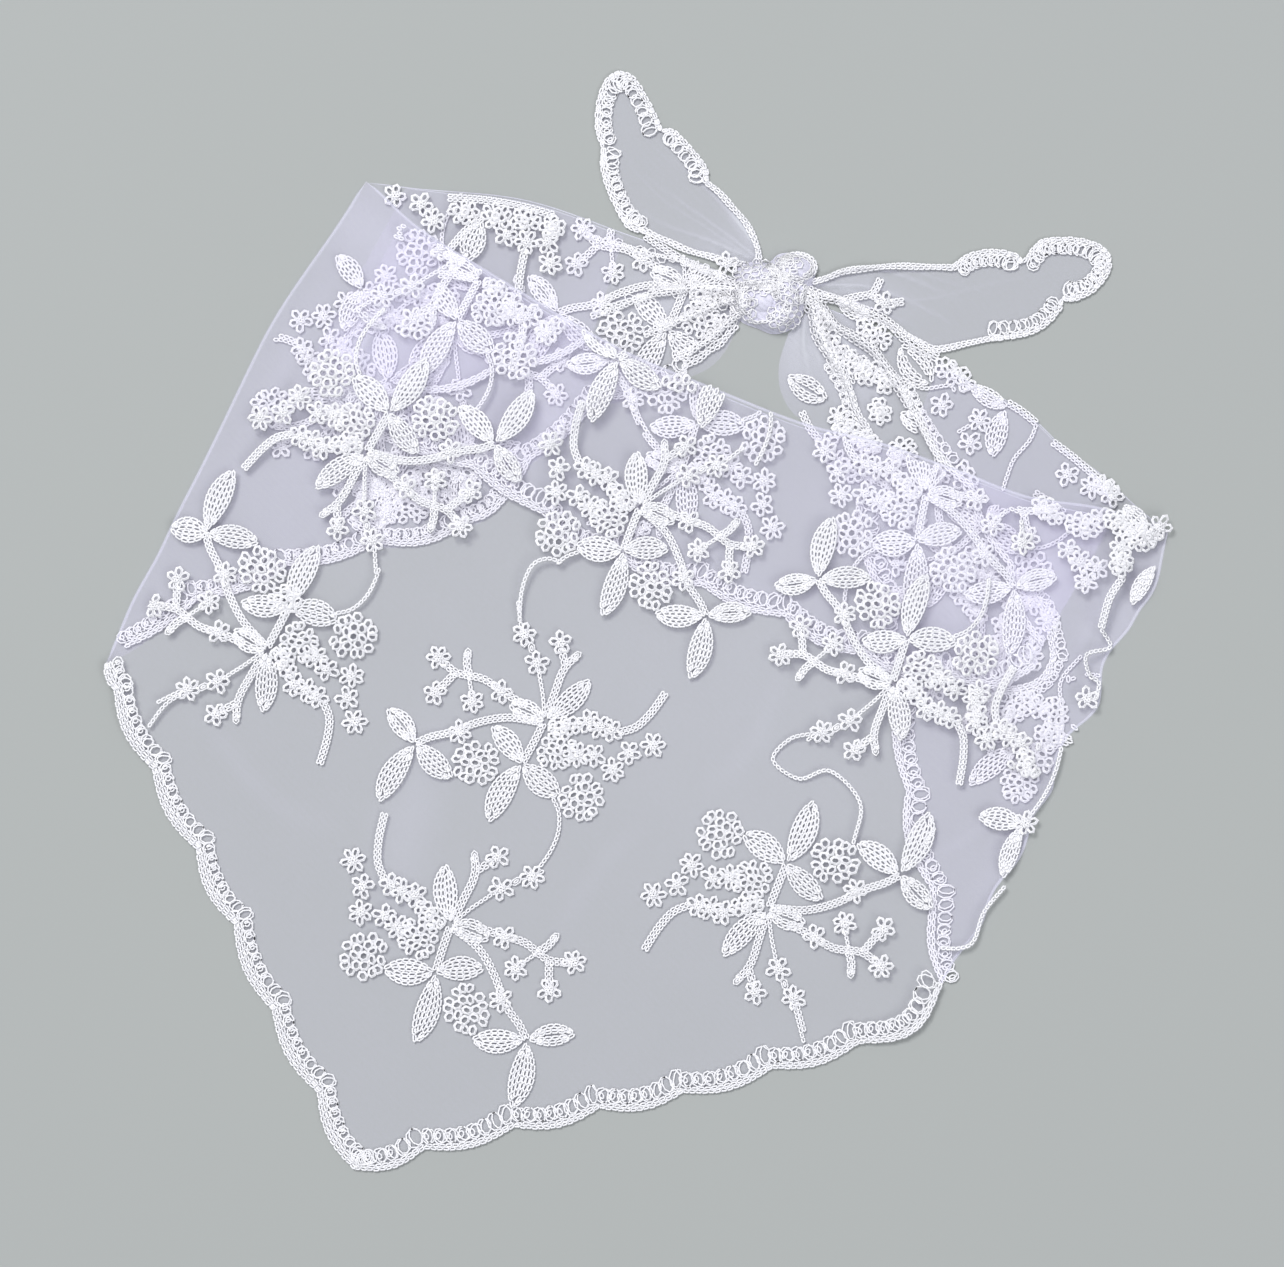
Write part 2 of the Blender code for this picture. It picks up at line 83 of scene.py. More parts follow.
# Each tail's edge, clockwise: a plain rim from the knot, its scallops, and a plain rim back
TAIL_RUNS = {
    "tail_left": (
        ((38, 116.5), (20, 121), (10, 125), (3, 128.4)),
        ((3, 128.4), (-2, 129.5), (-4.8, 133)),
        ((-4.8, 133), (-9.2, 142), (-11.4, 150), (-11, 156.4)),
        ((-11, 156.4), (-13.1, 163), (-12.6, 172), (-9.7, 179), (-5.4, 181.8)),
        ((-5.4, 181.8), (-0.3, 179.4), (5, 170.8), (8.7, 162.4)),
        ((8.7, 162.4), (13.5, 161.6), (22.6, 151.3), (24, 145.5)),
        ((24, 145.5), (29.5, 140.6), (37.1, 131.7), (40.6, 124.7), (41.7, 117)),
    ),
    "tail_right": (
        ((57, 112.5), (62.9, 114), (70.8, 116.6), (87.3, 118), (105, 117.5)),
        ((105, 117.5), (109.7, 121.1), (117.6, 122.8), (125.6, 121.3), (127.9, 118.6)),
        (
            (127.9, 118.6), (133.5, 125.5), (140.4, 126.7), (147.4, 126.3), (153.9, 124),
            (156.9, 120.5),
        ),
        ((156.9, 120.5), (156.5, 115.2), (151.6, 109), (145, 106), (141.1, 106.3)),
        ((141.1, 106.3), (140.4, 103), (135.8, 97.7), (129.2, 94.4), (117.6, 92.7)),
        (
            (117.6, 92.7), (109.7, 91.2), (99.5, 89.1), (93.9, 91.4), (80.7, 98.7), (69.1, 105),
            (58, 108.5),
        ),
    ),
}

# Heights of the sheets: the lowest net's middle, and the step to each layer above it
NET_MIDDLE = 0.5
LAYER_PITCH = 1.5
FRONT_LOFT = 0.5  # by which the front panel stands off the layers inside it
LAP = 12.0  # past a layer's edge, where the cloth above still lies as high
RAMP = 30.0  # over which it then comes down
FRONT_FOLD_RAMP = 9.0  # from a side fold, over which the front's creases and strips rise
LOWEST = 0.15

# Scalloped border: a scallop shorter than WHOLE_RISE_LENGTH rises less
SCALLOP_LENGTH = 30.0
SCALLOP_RISE = 3.5
WHOLE_RISE_LENGTH = 20.0
FOOT_STEPS = 12  # to a scallop, along a sheet's foot
ROPE_STEPS = 36  # to a scallop, along its rope

Stretch = namedtuple("Stretch", "name top feet lies_on")
Crease = namedtuple("Crease", "path half_width rise")
Bulge = namedtuple("Bulge", "along half_width out")
BowedEdge = namedtuple("BowedEdge", "start end bulges")
Veil = namedtuple("Veil", "x y long wide turn amount")
Spray = namedtuple("Spray", "x y turn mirrored scale bare", defaults=((),))
Leaf = namedtuple("Leaf", "base_x base_y tip_x tip_y width slit", defaults=(False,))

# The front panel's cut edge, notch by notch, from the left fold round the point to the right fold
FRONT_NOTCHES = (
    FOLD_FOOT_LEFT, (-171.9, -22.7), (-159.6, -48.8), (-145.1, -75.3), (-132.6, -100.2),
    (-120, -128.5), (-105, -155.7), APEX, (-69.9, -174.3), (-40.2, -167.1), (-12, -160.8),
    (15.7, -155.7), (45.2, -147.6), (73.7, -139.4),
)
LAST_FOOT = (FRONT_NOTCHES[-1], (90, -133), FOLD_FOOT_RIGHT)
FRONT_FEET = (*zip(FRONT_NOTCHES, FRONT_NOTCHES[1:]), LAST_FOOT)
SIDE_SCALLOPS = 7  # of the feet, before the point

BACKS = ("back_left", "back_right")
STRIPS = ("back_left_turn_in", "back_right_turn_in")
STRETCHES = (
    Stretch("back_left", BACK_LEFT_TOP, (BACK_LEFT_FOOT,), ()),
    Stretch("back_right", BACK_RIGHT_TOP, (BACK_RIGHT_FOOT,), ()),
    Stretch("back_left_turn_in", BACK_LEFT_TURN_IN_TOP, (BACK_LEFT_TURN_IN_FOOT,), ("back_left",)),
    Stretch(
        "back_right_turn_in", BACK_RIGHT_TURN_IN_TOP, (BACK_RIGHT_TURN_IN_FOOT,), ("back_right",),
    ),
    Stretch("front_turn_in", FRONT_TURN_IN_TOP, (FRONT_TURN_IN_FOOT,), BACKS + STRIPS),
    Stretch("front_panel", NECKLINE, FRONT_FEET, BACKS + STRIPS + ("front_turn_in",)),
)

# The right band's pleats and its drawn-up upper rim, from the knot
PLEAT_LEFT = (
    (54, 106.5), (58.2, 103.3), (60.2, 96), (62.9, 90.1), (67.5, 83.5), (70.8, 76.9), (73.4, 69),
    (77.4, 63), (80, 56.4),
)
PLEAT_RIGHT = (
    (54.5, 108.5), (59.2, 105.9), (65.8, 97.7), (70.8, 94.7), (77.4, 90.4), (82.3, 84.5),
    (87.3, 77.2), (91.2, 69.6), (96.5, 60.4), (102.5, 50.5),
)
BAND_TOP_RIM = (
    (55.5, 110), (60.5, 107.5), (67.1, 106), (73.9, 103), (81.3, 100), (85.6, 97), (89.8, 93.2),
    (95, 89.8), (101, 86.4),
)

# Soft ridges, each along a bowed path: broad ones and then finer ones on the front panel, gathers
# that fan out from the knot on the backs, and fine ones on the tails, which start at the knot
CREASES = {
    "front_panel": (
        Crease(((-5, 86), (-26, 66), (-40, 48)), 9, 2.4),
        Crease(((-70, 118), (-90, 92), (-100, 60)), 11, 2),
        Crease(((110, 42), (106, 0), (96, -40)), 10, 2.2),
        Crease(((140, 32), (134, 2), (122, -30)), 10, 2.6),
        Crease(((40, 66), (32, 36), (20, 10)), 12, 1.4),
        Crease(((-60, -20), (-76, -70), (-84, -120)), 16, 1.6),
        Crease(((-88, 138), (-112, 92), (-138, 44)), 4, 1),
        Crease(((-82, 134), (-96, 100), (-122, 58)), 3, 0.9),
        Crease(((-50, 112), (-66, 84), (-92, 62)), 4, 0.8),
        Crease(((10, 80), (8, 60), (-2, 38)), 4, 0.8),
        Crease(((66, 60), (72, 34), (66, 8)), 4, 0.9),
        Crease(((92, 52), (96, 24), (84, -6)), 5, 1),
        Crease(((124, 40), (124, 12), (112, -12)), 3.5, 1.2),
        Crease(((152, 32), (152, 6), (140, -24)), 3.5, 1.6),
        Crease(((166, 30), (156, 2), (146, -26)), 3, 1.4),
        Crease(((138, -24), (128, -60), (110, -98)), 5, 1.4),
        Crease(((130, -50), (112, -70), (92, -82)), 3.5, 1),
        Crease(((-150, -24), (-120, -60), (-96, -70)), 6, 0.8),
        Crease(((-30, -110), (-10, -80), (6, -66)), 6, 0.6),
        Crease(((20, -60), (40, -40), (50, -10)), 6, 0.6),
    ),
    "back_right": (
        Crease(PLEAT_LEFT, 2.8, 3.4),
        Crease(PLEAT_RIGHT, 2.3, 3.4),
        Crease(BAND_TOP_RIM, 1.8, 2.2),
        Crease(((56.5, 102), (55.5, 92), (57.5, 82), (61, 70)), 1.6, 1.6),
        Crease(((58, 103), (59.5, 90), (64, 78), (69, 68)), 1.2, 1.2),
        Crease(((62, 101), (72, 88), (79, 76), (86, 62)), 1.6, 1.8),
    ),
    "back_left": (
        Crease(((30, 113.5), (14, 119), (-4, 124), (-20, 129)), 1.5, 1.6),
        Crease(((36, 109), (31, 110), (18, 110), (2, 107), (-16, 100)), 2.6, 3),
        Crease(((36, 106), (31.5, 106), (18, 101), (2, 94)), 2.4, 3.4),
        Crease(((37, 102), (33, 101), (24, 93), (12, 86)), 2.4, 2.8),
        Crease(((30, 112), (10, 114), (-12, 112)), 1.2, 1.2),
    ),
    "tail_left": (
        Crease(((39, 121), (30, 128), (16, 138), (2, 148)), 1, 1.2),
        Crease(((38, 120), (24, 126), (10, 131), (-2, 138)), 1.1, 1.3),
        Crease(((41, 122), (32, 134), (18, 148), (6, 156)), 1, 1),
        Crease(((40, 119), (22, 131), (6, 142), (-6, 158)), 0.7, 0.8),
        Crease(((36, 119), (14, 124), (2, 129)), 0.8, 0.9),
    ),
    "tail_right": (
        Crease(((60, 113), (76, 117), (94, 112), (110, 104)), 1.2, 1.6),
        Crease(((60, 111), (80, 110), (98, 102), (112, 94)), 1, 1.4),
        Crease(((60, 114), (84, 117), (104, 112), (124, 106)), 0.8, 1),
        Crease(((60, 109), (76, 104), (94, 97)), 1.2, 1.6),
        Crease(((60, 112), (90, 106), (120, 112), (140, 116)), 0.8, 0.8),
    ),
}
# Edges that bow outwards to their left, and where along them
BOWED_EDGES = (
    BowedEdge(
        FOLD_FOOT_LEFT, FOLD_TOP_LEFT,
        (Bulge(0.67, 0.33, 4.6), Bulge(0.35, 0.3, 2.6), Bulge(0.12, 0.12, 1.4)),
    ),
    BowedEdge(FOLD_TOP_LEFT, (34, 116), (Bulge(0.4, 0.3, 2.6),)),
    BowedEdge((59, 105), FOLD_TOP_RIGHT, (Bulge(0.81, 0.17, 2.8), Bulge(0.58, 0.15, 1))),
    BowedEdge(
        FOLD_TOP_RIGHT, FOLD_FOOT_RIGHT,
        (
            Bulge(0.12, 0.12, 3.9), Bulge(0.215, 0.06, 1.8), Bulge(0.375, 0.09, 4.6),
            Bulge(0.565, 0.075, 3.6), Bulge(0.7, 0.13, 4.2), Bulge(0.86, 0.1, 2.8),
        ),
    ),
)
BULGE_REACH = 30.0

# Where the net is drawn together or rucked, so that it covers more: soft ovals
VEILS = {
    "front_panel": (
        Veil(45, -15, 90, 70, 0, 0.055),
        Veil(-92, 68, 40, 22, 60, 0.12),
        Veil(-86, 128, 20, 12, -40, 0.12),
        Veil(-5, 82, 34, 9, -22, 0.12),
        Veil(88, 36, 20, 15, 0, 0.1),
        Veil(128, -22, 14, 26, 20, 0.04),
        Veil(160, 5, 12, 30, 0, 0.07),
    ),
    "back_left": (Veil(14, 105, 26, 13, 0, 0.2),),
    "back_right": (Veil(52, 88, 7, 16, 0, 0.16), Veil(68, 88, 10, 20, 30, 0.26)),
    "tail_left": (Veil(36, 132, 14, 3, -56, 0.35), Veil(30, 122, 12, 6, -20, 0.1)),
    "tail_right": (Veil(74, 108, 14, 6, -12, 0.12),),
}

# ------------------------ one spray of the lace, in mm

LEAVES = (
    Leaf(1, 1, 14.9, 12.8, 7.5), Leaf(-0.5, 0.5, -11.4, 5.2, 7.4, True),
    Leaf(-7, -13.6, -17, -2.4, 7.5), Leaf(-6, -14.4, 5.6, -24.2, 8.7),
    Leaf(-7.4, -14.8, -17.8, -33.6, 8), Leaf(-43, -6.8, -51.8, 4, 7.2, True),
    Leaf(-41.4, -8, -29.9, -19.2, 7.7), Leaf(-43, -8.4, -53.8, -26.2, 8),
)
FLOWERS = (
    (-14.6, 9.5), (-24.1, 5.5), (-36.4, 8.7), (-34.6, 20.4), (-2.1, 19.3), (-5.9, 28.7),
    (6.1, 25.8), (-27.7, -4.3), (14.3, -0.6), (18.4, -2.6), (22.2, -4), (11.8, -11.6), (17, -12.2),
    (23.4, -17), (28.6, -11.2), (36.2, -8.3),
)
ROSETTES = ((-21.8, -14.6), (13, -25.7))
CLUSTERS = ((4.8, -10, 6.4, 5.9), (7, -2, 5.4, 2.2))
BUDS = ((-24.8, 21.4, 92), (11, 21.2, 35), (-3.6, 24.2, 100))
TWO_ROW_STEMS = (
    ((-1, -0.2), (-11.4, 1), (-20.8, -0.8), (-30.6, -4.4), (-37.4, -5.6), (-42.2, -7.4)),
    ((-0.4, -0.6), (-3.6, -7.6), (-6.6, -13.6)),
    ((-6, 5.2), (-12.6, 8.6), (-19.6, 13), (-24.8, 14.2), (-29.4, 15.4), (-34, 19.6)),
    ((-29.4, 15.2), (-32.4, 12.2), (-35.6, 9.6)),
    ((-24.8, 14.4), (-25.4, 18), (-24.9, 21.8)),
    ((0.4, 1.6), (3.4, 9.6), (5.6, 15.2), (8, 18.6), (11, 21)),
    ((7.2, 18.4), (6.6, 21.4), (6.2, 24)),
    ((24.6, -4.6), (30.2, -2.6), (34.8, 2), (38.2, 6.8), (39.9, 9.4)),
)
ONE_ROW_STEMS = (
    ((-0.2, 1.4), (-0.6, 8), (-1.4, 14), (-1.8, 17.6)),
    ((-25, 14), (-24.4, 9.6), (-24.1, 6.6)),
    ((3.6, -25.4), (5.4, -30.2), (5, -36.4), (2.4, -42.4), (-1.6, -48)),
    ((-6.8, 31), (-7.4, 35.4), (-7.9, 39.6)),
)

# Where the sprays lie, alternately turned and mirrored along the repeat, and the round spots (x, y,
# radius) in which a spray is folded away
SPRAYS = {
    "front_panel": (
        Spray(-30.5, -32.7, 0, False, 1),
        Spray(
            -61, -101, 134, True, 1.05,
            ((-91.6, -126.7, 8.5), (-85.3, -119.8, 3.9), (-95.2, -135.6, 4), (-26.6, -79.2, 4.6)),
        ),
        Spray(
            43.7, -95.7, -175, False, 1.04,
            ((35.1, -55.8, 8.6), (40.1, -46.5, 5), (38.1, -66, 2.7)),
        ),
        Spray(-121.6, -9.7, -53, True, 1.01, ((-83, 21.5, 5), (-148, 29, 5.8))),
        Spray(1.4, 36.9, 132, True, 0.97, ((-29.9, 10.2, 9),)),
        Spray(85.2, -20.1, -44, True, 0.97, ((53.6, -42.1, 4),)),
        Spray(-89.3, 55.1, 174, False, 0.99),
        Spray(34.7, 99.6, 8, False, 1),
        Spray(
            134, -52, 118, True, 0.92,
            (
                (110, -51, 14), (122, -66, 17), (101.9, -65, 4.5), (136.8, -38, 4.5),
                (135.4, -45.2, 4.3),
            ),
        ),
    ),
    "front_turn_in": (
        Spray(-51, 113, -4, False, 0.98, ((-79, 111, 14), (-70, 127.5, 7))),
        Spray(-57, 120, -53, True, 1, ((-52, 109, 10), (-70, 127.5, 7))),
        Spray(15, 51, -46, True, 0.98, ((-10.5, 57, 14),)),
        Spray(96, 41.5, 143, True, 0.98, ((122, 46, 9),)),
    ),
    "back_left": (
        Spray(17, 109.6, 0, False, 1),
        Spray(-82, 44, 30, False, 0.95, ((-118, 38, 19), (-50, 33, 11))),
        Spray(-95.9, 72.9, 140, False, 1, ((-112, 42, 12),)),
        Spray(-60, 96, 178, False, 0.98, ((-46, 119, 9), (-16, 112, 21))),
    ),
    "back_right": (
        Spray(
            118, -22, 87, False, 1,
            ((144, -10, 9), (101, -48, 14), (122, -62, 18), (133.5, -28.5, 12.5)),
        ),
        Spray(104, 22, -75, True, 0.95, ((111, 72, 20), (122, 46, 9))),
    ),
}

# A leaf's rows across its half width, with or without a slit, and how many of its steps each row
# stops short of the ends
LEAF_ROWS = (-1.0, -0.6, -0.22, 0.22, 0.6, 1.0)
SLIT_LEAF_ROWS = (-1.0, -0.66, -0.36, 0.36, 0.66, 1.0)
LEAF_ROW_STARTS = (0, 3, 4, 5, 2, 1)
LEAF_STEPS = 25
LEAF_PITCH = 2.15
LINK_PITCH = 1.65
ROSETTE_HALF_LENGTHS = (6.7, 6.1)
ROSETTE_SIZE = 1.12
LACE_MARGIN = 5.0  # clear of a cut edge's border

# ------------------------ lines and distances

TINY = 1e-9  # keeps a division by a length of nothing from failing


def smooth_line(stations, steps=8):
    """A Catmull-Rom curve: each span is a cubic whose end slopes follow the stations about it."""
    points = np.array(stations, float)
    if len(points) == 2:
        return points
    ends = np.vstack([2 * points[0] - points[1], points, 2 * points[-1] - points[-2]])
    before, start, end, after = (ends[i : len(ends) - 3 + i, None, :] for i in range(4))
    t = (np.arange(steps) / steps)[None, :, None]
    slope = 2 * before - 5 * start + 4 * end - after
    twist = 3 * start - before - 3 * end + after
    line = start + 0.5 * t * (end - before + t * (slope + t * twist))
    return np.vstack([line.reshape(-1, 2), points[-1]])


def lengths_along(line):
    """The running length of a line at each of its points."""
    return np.concatenate([[0.0], np.cumsum(np.hypot(*np.diff(line, axis=0).T))])


def between(at, run, line):
    """A line's points, or any pairs of values along it, at these places on its running scale."""
    return np.column_stack([np.interp(at, run, line[:, 0]), np.interp(at, run, line[:, 1])])


def spread(line, count):
    """count + 1 points at equal distances along a line."""
    run = lengths_along(line)
    return between(np.linspace(0.0, run[-1], count + 1), run, line)


def directions(line):
    """Unit directions along a line, from the difference of each point's neighbours."""
    way = np.gradient(line, axis=0)
    return way / np.maximum(reach_of(way), TINY)[:, None]


def rights(line):
    """Unit normals to the right of the line's direction."""
    way = directions(line)
    return np.column_stack([way[:, 1], -way[:, 0]])


def reach_of(ways):
    """The length of each of the flat vectors."""
    return np.hypot(ways[:, 0], ways[:, 1])


def turned(x, y, angle, middle=(0.0, 0.0)):
    """Turned counter-clockwise: x cos a - y sin a and x sin a + y cos a, from a middle."""
    cos, sin = np.cos(angle), np.sin(angle)
    return middle[0] + x * cos - y * sin, middle[1] + x * sin + y * cos


def in_oval(points, oval):
    """How far along and aside of a turned oval's middle each point lies, in its half lengths."""
    x, y = points[:, 0] - oval.x, points[:, 1] - oval.y
    along, aside = turned(x, y, -np.radians(oval.turn))
    return along / oval.long, aside / oval.wide


def ease(share):
    """0 below 0, 1 above 1, and a smooth S between them: 3 s^2 - 2 s^3."""
    share = np.clip(share, 0.0, 1.0)
    return share * share * (3.0 - 2.0 * share)


def nearest_on(points, line):
    """Each point's distance to a polyline, and the share of its length where that is least."""
    run = lengths_along(line)
    best = np.full(len(points), np.inf)
    share = np.zeros(len(points))
    for start, end, begun, done in zip(line, line[1:], run, run[1:]):
        along = end - start
        t = np.clip((points - start) @ along / max(along @ along, TINY), 0.0, 1.0)
        distance = reach_of(points - start - t[:, None] * along)
        closer = distance < best
        best = np.where(closer, distance, best)
        share = np.where(closer, begun + t * (done - begun), share)
    return best, share / run[-1]


def inside(points, outline):
    """True for each point in the closed outline, by counting crossings of a ray to the right."""
    crossed = np.zeros(len(points), bool)
    x, y = points[:, 0], points[:, 1]
    for start, end in zip(outline, np.roll(outline, -1, axis=0)):
        spans = (start[1] > y) != (end[1] > y)
        rise = end[1] - start[1] if start[1] != end[1] else TINY
        crossed ^= spans & (x < start[0] + (y - start[1]) / rise * (end[0] - start[0]))
    return crossed


def outward_sign(top, foot):
    """+1 where the cut edge lies to the right of its own direction, seen from the upper edge."""
    along = foot[-1] - foot[0]
    away = foot[len(foot) // 2] - top[len(top) // 2]
    return 1.0 if away[0] * along[1] - away[1] * along[0] > 0 else -1.0


# ------------------------ heights of the layers

GRID_STEP = 1.5
GRID_HALF = 195.0
grid_axis = np.arange(-GRID_HALF, GRID_HALF + GRID_STEP / 2, GRID_STEP)
grid_points = np.stack(np.meshgrid(grid_axis, grid_axis), axis=-1).reshape(-1, 2)


def scallop_feet(run):
    """Points along a run, FOOT_STEPS to a scallop, and how far each swells out: rise |sin|."""
    length = lengths_along(run)[-1]
    count = max(1, round(length / SCALLOP_LENGTH)) * FOOT_STEPS
    rise = SCALLOP_RISE * min(1.0, length / WHOLE_RISE_LENGTH)
    return spread(run, count), rise * np.abs(np.sin(np.pi * np.arange(count + 1) / FOOT_STEPS))


def edge_lines(stretch):
    """The stretch's upper edge, its cut edge without scallops, and its scalloped outer edge."""
    top = smooth_line(stretch.top)
    runs = [scallop_feet(smooth_line(run)) for run in stretch.feet]
    feet = np.vstack([runs[0][0]] + [run[0][1:] for run in runs[1:]])
    rises = np.concatenate([runs[0][1]] + [run[1][1:] for run in runs[1:]])
    side = outward_sign(top, feet)
    return top, feet, feet + side * rights(feet) * rises[:, None]


def cover(points, outline):
    """1 over a stretch and LAP beyond its edge, easing to 0 over the RAMP outside that."""
    distance = nearest_on(points, np.vstack([outline, outline[:1]]))[0]
    return np.where(inside(points, outline), 1.0, 1.0 - ease((distance - LAP) / RAMP))


def crease_height(points, name):
    """The highest of a stretch's ridges: each has a rounded section and tapers to nothing at both
    ends, or on gathered cloth at its far end: rise times 1 - ease(distance) times the taper.
    """
    ridges = np.zeros(len(points))
    for crease in CREASES.get(name, ()):
        distance, share = nearest_on(points, smooth_line(crease.path))
        gathered = name != "front_panel"
        taper = np.cos(0.5 * np.pi * share) if gathered else np.sin(np.pi * share)
        ridge = crease.rise * (1.0 - ease(distance / crease.half_width)) * taper
        ridges = np.maximum(ridges, ridge)
    return ridges


def veil_over(points, name):
    """The cover that a stretch's veils add: amount times exp(-r^2), r being 1 at an oval's edge."""
    added = np.zeros(len(points))
    for veil in VEILS.get(name, ()):
        along, aside = in_oval(points, veil)
        added = added + veil.amount * np.exp(-(along**2) - aside**2)
    return added


edges, outlines, heights, covers = {}, {}, {}, {}


def settle(stretch):
    """The stretch's edges, and its height on the grid: the layers beneath, and its own creases.
    Near the side folds the front panel has come down from the strips to the backs.
    """
    name = stretch.name
    edges[name] = top, _, outer = edge_lines(stretch)
    outlines[name] = np.vstack([top, outer[::-1]])
    nothing = np.zeros(len(grid_points))
    over_backs = sum((covers[under] for under in stretch.lies_on if under in BACKS), nothing)
    over_rest = sum((covers[under] for under in stretch.lies_on if under not in BACKS), nothing)
    own = crease_height(grid_points, name)
    if name == "front_panel":
        folds = ((FOLD_TOP_LEFT, FOLD_FOOT_LEFT), (FOLD_TOP_RIGHT, FOLD_FOOT_RIGHT))
        from_folds = [nearest_on(grid_points, np.array(fold, float))[0] for fold in folds]
        roll = ease(np.minimum(*from_folds) / FRONT_FOLD_RAMP)
        loft = FRONT_LOFT * np.minimum(over_backs + over_rest, 1.0)
        height = NET_MIDDLE + LAYER_PITCH * (over_backs + roll * over_rest) + loft + roll * own
    else:
        height = NET_MIDDLE + LAYER_PITCH * (over_backs + over_rest) + own
    heights[name] = height.reshape(len(grid_axis), -1)
    covers[name] = cover(grid_points, outlines[name])


for each in STRETCHES:
    settle(each)
for tail, runs in TAIL_RUNS.items():
    outlines[tail] = np.vstack([smooth_line(run)[:-1] for run in runs])
    heights[tail] = (NET_MIDDLE + crease_height(grid_points, tail)).reshape(len(grid_axis), -1)


def height_at(name, points):
    """The stretch's height at any points, bilinear between the grid's."""
    place = np.clip((points + GRID_HALF) / GRID_STEP, 0, len(grid_axis) - 1.001)
    column, row = np.floor(place[:, 0]).astype(int), np.floor(place[:, 1]).astype(int)
    right, up = place[:, 0] - column, place[:, 1] - row
    table = heights[name]
    lower = table[row, column] * (1 - right) + table[row, column + 1] * right
    upper = table[row + 1, column] * (1 - right) + table[row + 1, column + 1] * right
    return lower * (1 - up) + upper * up


def pushed_out(points):
    """Points moved out with each bowed edge's bulges, less the further they are from the edge."""
    placed = points.copy()
    for edge in BOWED_EDGES:
        start, end = np.array(edge.start, float), np.array(edge.end, float)
        distance, share = nearest_on(points, np.array([start, end]))
        swell = sum(
            bulge.out * (1.0 - ease(np.abs(share - bulge.along) / bulge.half_width))
            for bulge in edge.bulges
        )
        out = swell * (1.0 - ease(distance / BULGE_REACH))
        placed = placed + across(start, end) * out[:, None]
    return placed


def across(start, end):
    """The unit normal to the left of the line from start to end."""
    along = np.array(end, float) - np.array(start, float)
    return np.array([-along[1], along[0]]) / np.hypot(*along)


# ------------------------ meshes

def place_in_scene(name, data):
    """A new object of this data, linked to the scene."""
    placed = bpy.data.objects.new(name, data)
    bpy.context.scene.collection.objects.link(placed)
    return placed


def add_mesh(name, points, quads, material, gathered=None, shades=True):
    """A mesh of quads, its points in mm, shaded smooth, that rides on the one body. Cloth carries
    how far it is gathered at each point, with painted crease shading added in along its creases.
    """
    mesh = bpy.data.meshes.new(name)
    mesh.vertices.add(len(points))
    placed = np.array(points, float)
    placed[:, :2] += SHIFT
    mesh.vertices.foreach_set("co", (placed * MM).astype(np.float32).ravel())
    mesh.loops.add(quads.size)
    mesh.loops.foreach_set("vertex_index", quads.astype(np.int32).ravel())
    mesh.polygons.add(len(quads))
    mesh.polygons.foreach_set("loop_start", np.arange(0, quads.size, 4, dtype=np.int32))
    mesh.update(calc_edges=True)
    mesh.polygons.foreach_set("use_smooth", np.ones(len(quads), bool))
    if gathered is not None:
        layer = mesh.attributes.new("gathered", "FLOAT", "POINT")
        layer.data.foreach_set("value", gathered.astype(np.float32).ravel())
    mesh.materials.append(material)
    piece = place_in_scene(name, mesh)
    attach(piece, "root")
    piece.visible_shadow = shades
    return piece


def add_net(name, points, quads, gathered):
    """A sheet of the sheer net, which passes the light on, so it darkens nothing beneath it."""
    quads = upwards(points, quads)
    # gathered holds the net's real gathering and folds, and painted crease shading along its
    # creases
    return add_mesh("net_" + name, points, quads, net_cloth, gathered, shades=False)


def grid_quads(rows, columns, closed=False):
    """The quads of a grid of points in row order, its rows closed round or open."""
    row, column = np.meshgrid(np.arange(rows - 1), np.arange(columns - (not closed)), indexing="ij")
    here, below = row * columns, (row + 1) * columns
    following = (column + 1) % columns
    corners = (here + column, below + column, below + following, here + following)
    return np.stack(corners, axis=-1).reshape(-1, 4)


def upwards(points, quads):
    """The quads turned so that most of the sheet faces up."""
    a, b, c = (points[quads[:, i]] for i in range(3))
    area = np.cross(b - a, c - a)[:, 2].sum()
    return quads if area > 0 else quads[:, ::-1]


# ------------------------ loops of thread

# Each loop is a closed ring of thread: its middle, the way it points, its half length and half
# width along the thread's centre line, the thread's radius, and how far it stands off the net
LoopShape = namedtuple("LoopShape", "length width thread lift")
STITCH = LoopShape(0.86, 0.52, 0.35, 0.0)
LEAF_STITCH = LoopShape(0.95, 0.55, 0.385, 0.0)
ROPE_STITCH = LoopShape(1.05, 0.48, 0.38, 0.1)
PETAL = LoopShape(1.75, 1.2, 0.3, 0.1)
WIDE_PETAL = 1.35  # half width, on a flower of five petals
LOBE = LoopShape(1.6, 1.35, 0.3, 0.1)
PLEAT_STITCH = LoopShape(1.1, 0.6, 0.34, 0.1)
COIL = LoopShape(2.0, 1.5, 0.31, 0.05)
OPEN_RING = LoopShape(2.1, 1.3, 0.32, 0.05)
SEGMENTS = 6  # round a stitch's loop
RING_SEGMENTS = 8  # round a border ring
SECTION = 3  # round the thread itself
THREAD_LIFT = 0.35
HEAD_LIFT = 0.16
LOWEST_THREAD = 0.05
PETAL_REACH = 2.4  # from a flower's middle
PATCH_RINGS = (0.0, 0.45, 0.85)
LOBE_PITCH = 2.6
TWO_ROWS_ASIDE = 0.68


def loops(x, y, turn, shape, length=None, width=None, lift=None):
    """An array of loops, one row each: x, y, turn, half length, half width, thread, lift."""
    x = np.atleast_1d(np.asarray(x, float))
    columns = (
        x,
        y,
        turn,
        shape.length if length is None else length,
        shape.width if width is None else width,
        shape.thread,
        shape.lift if lift is None else lift,
    )
    return np.column_stack([np.broadcast_to(column, x.shape) for column in columns]).astype(float)


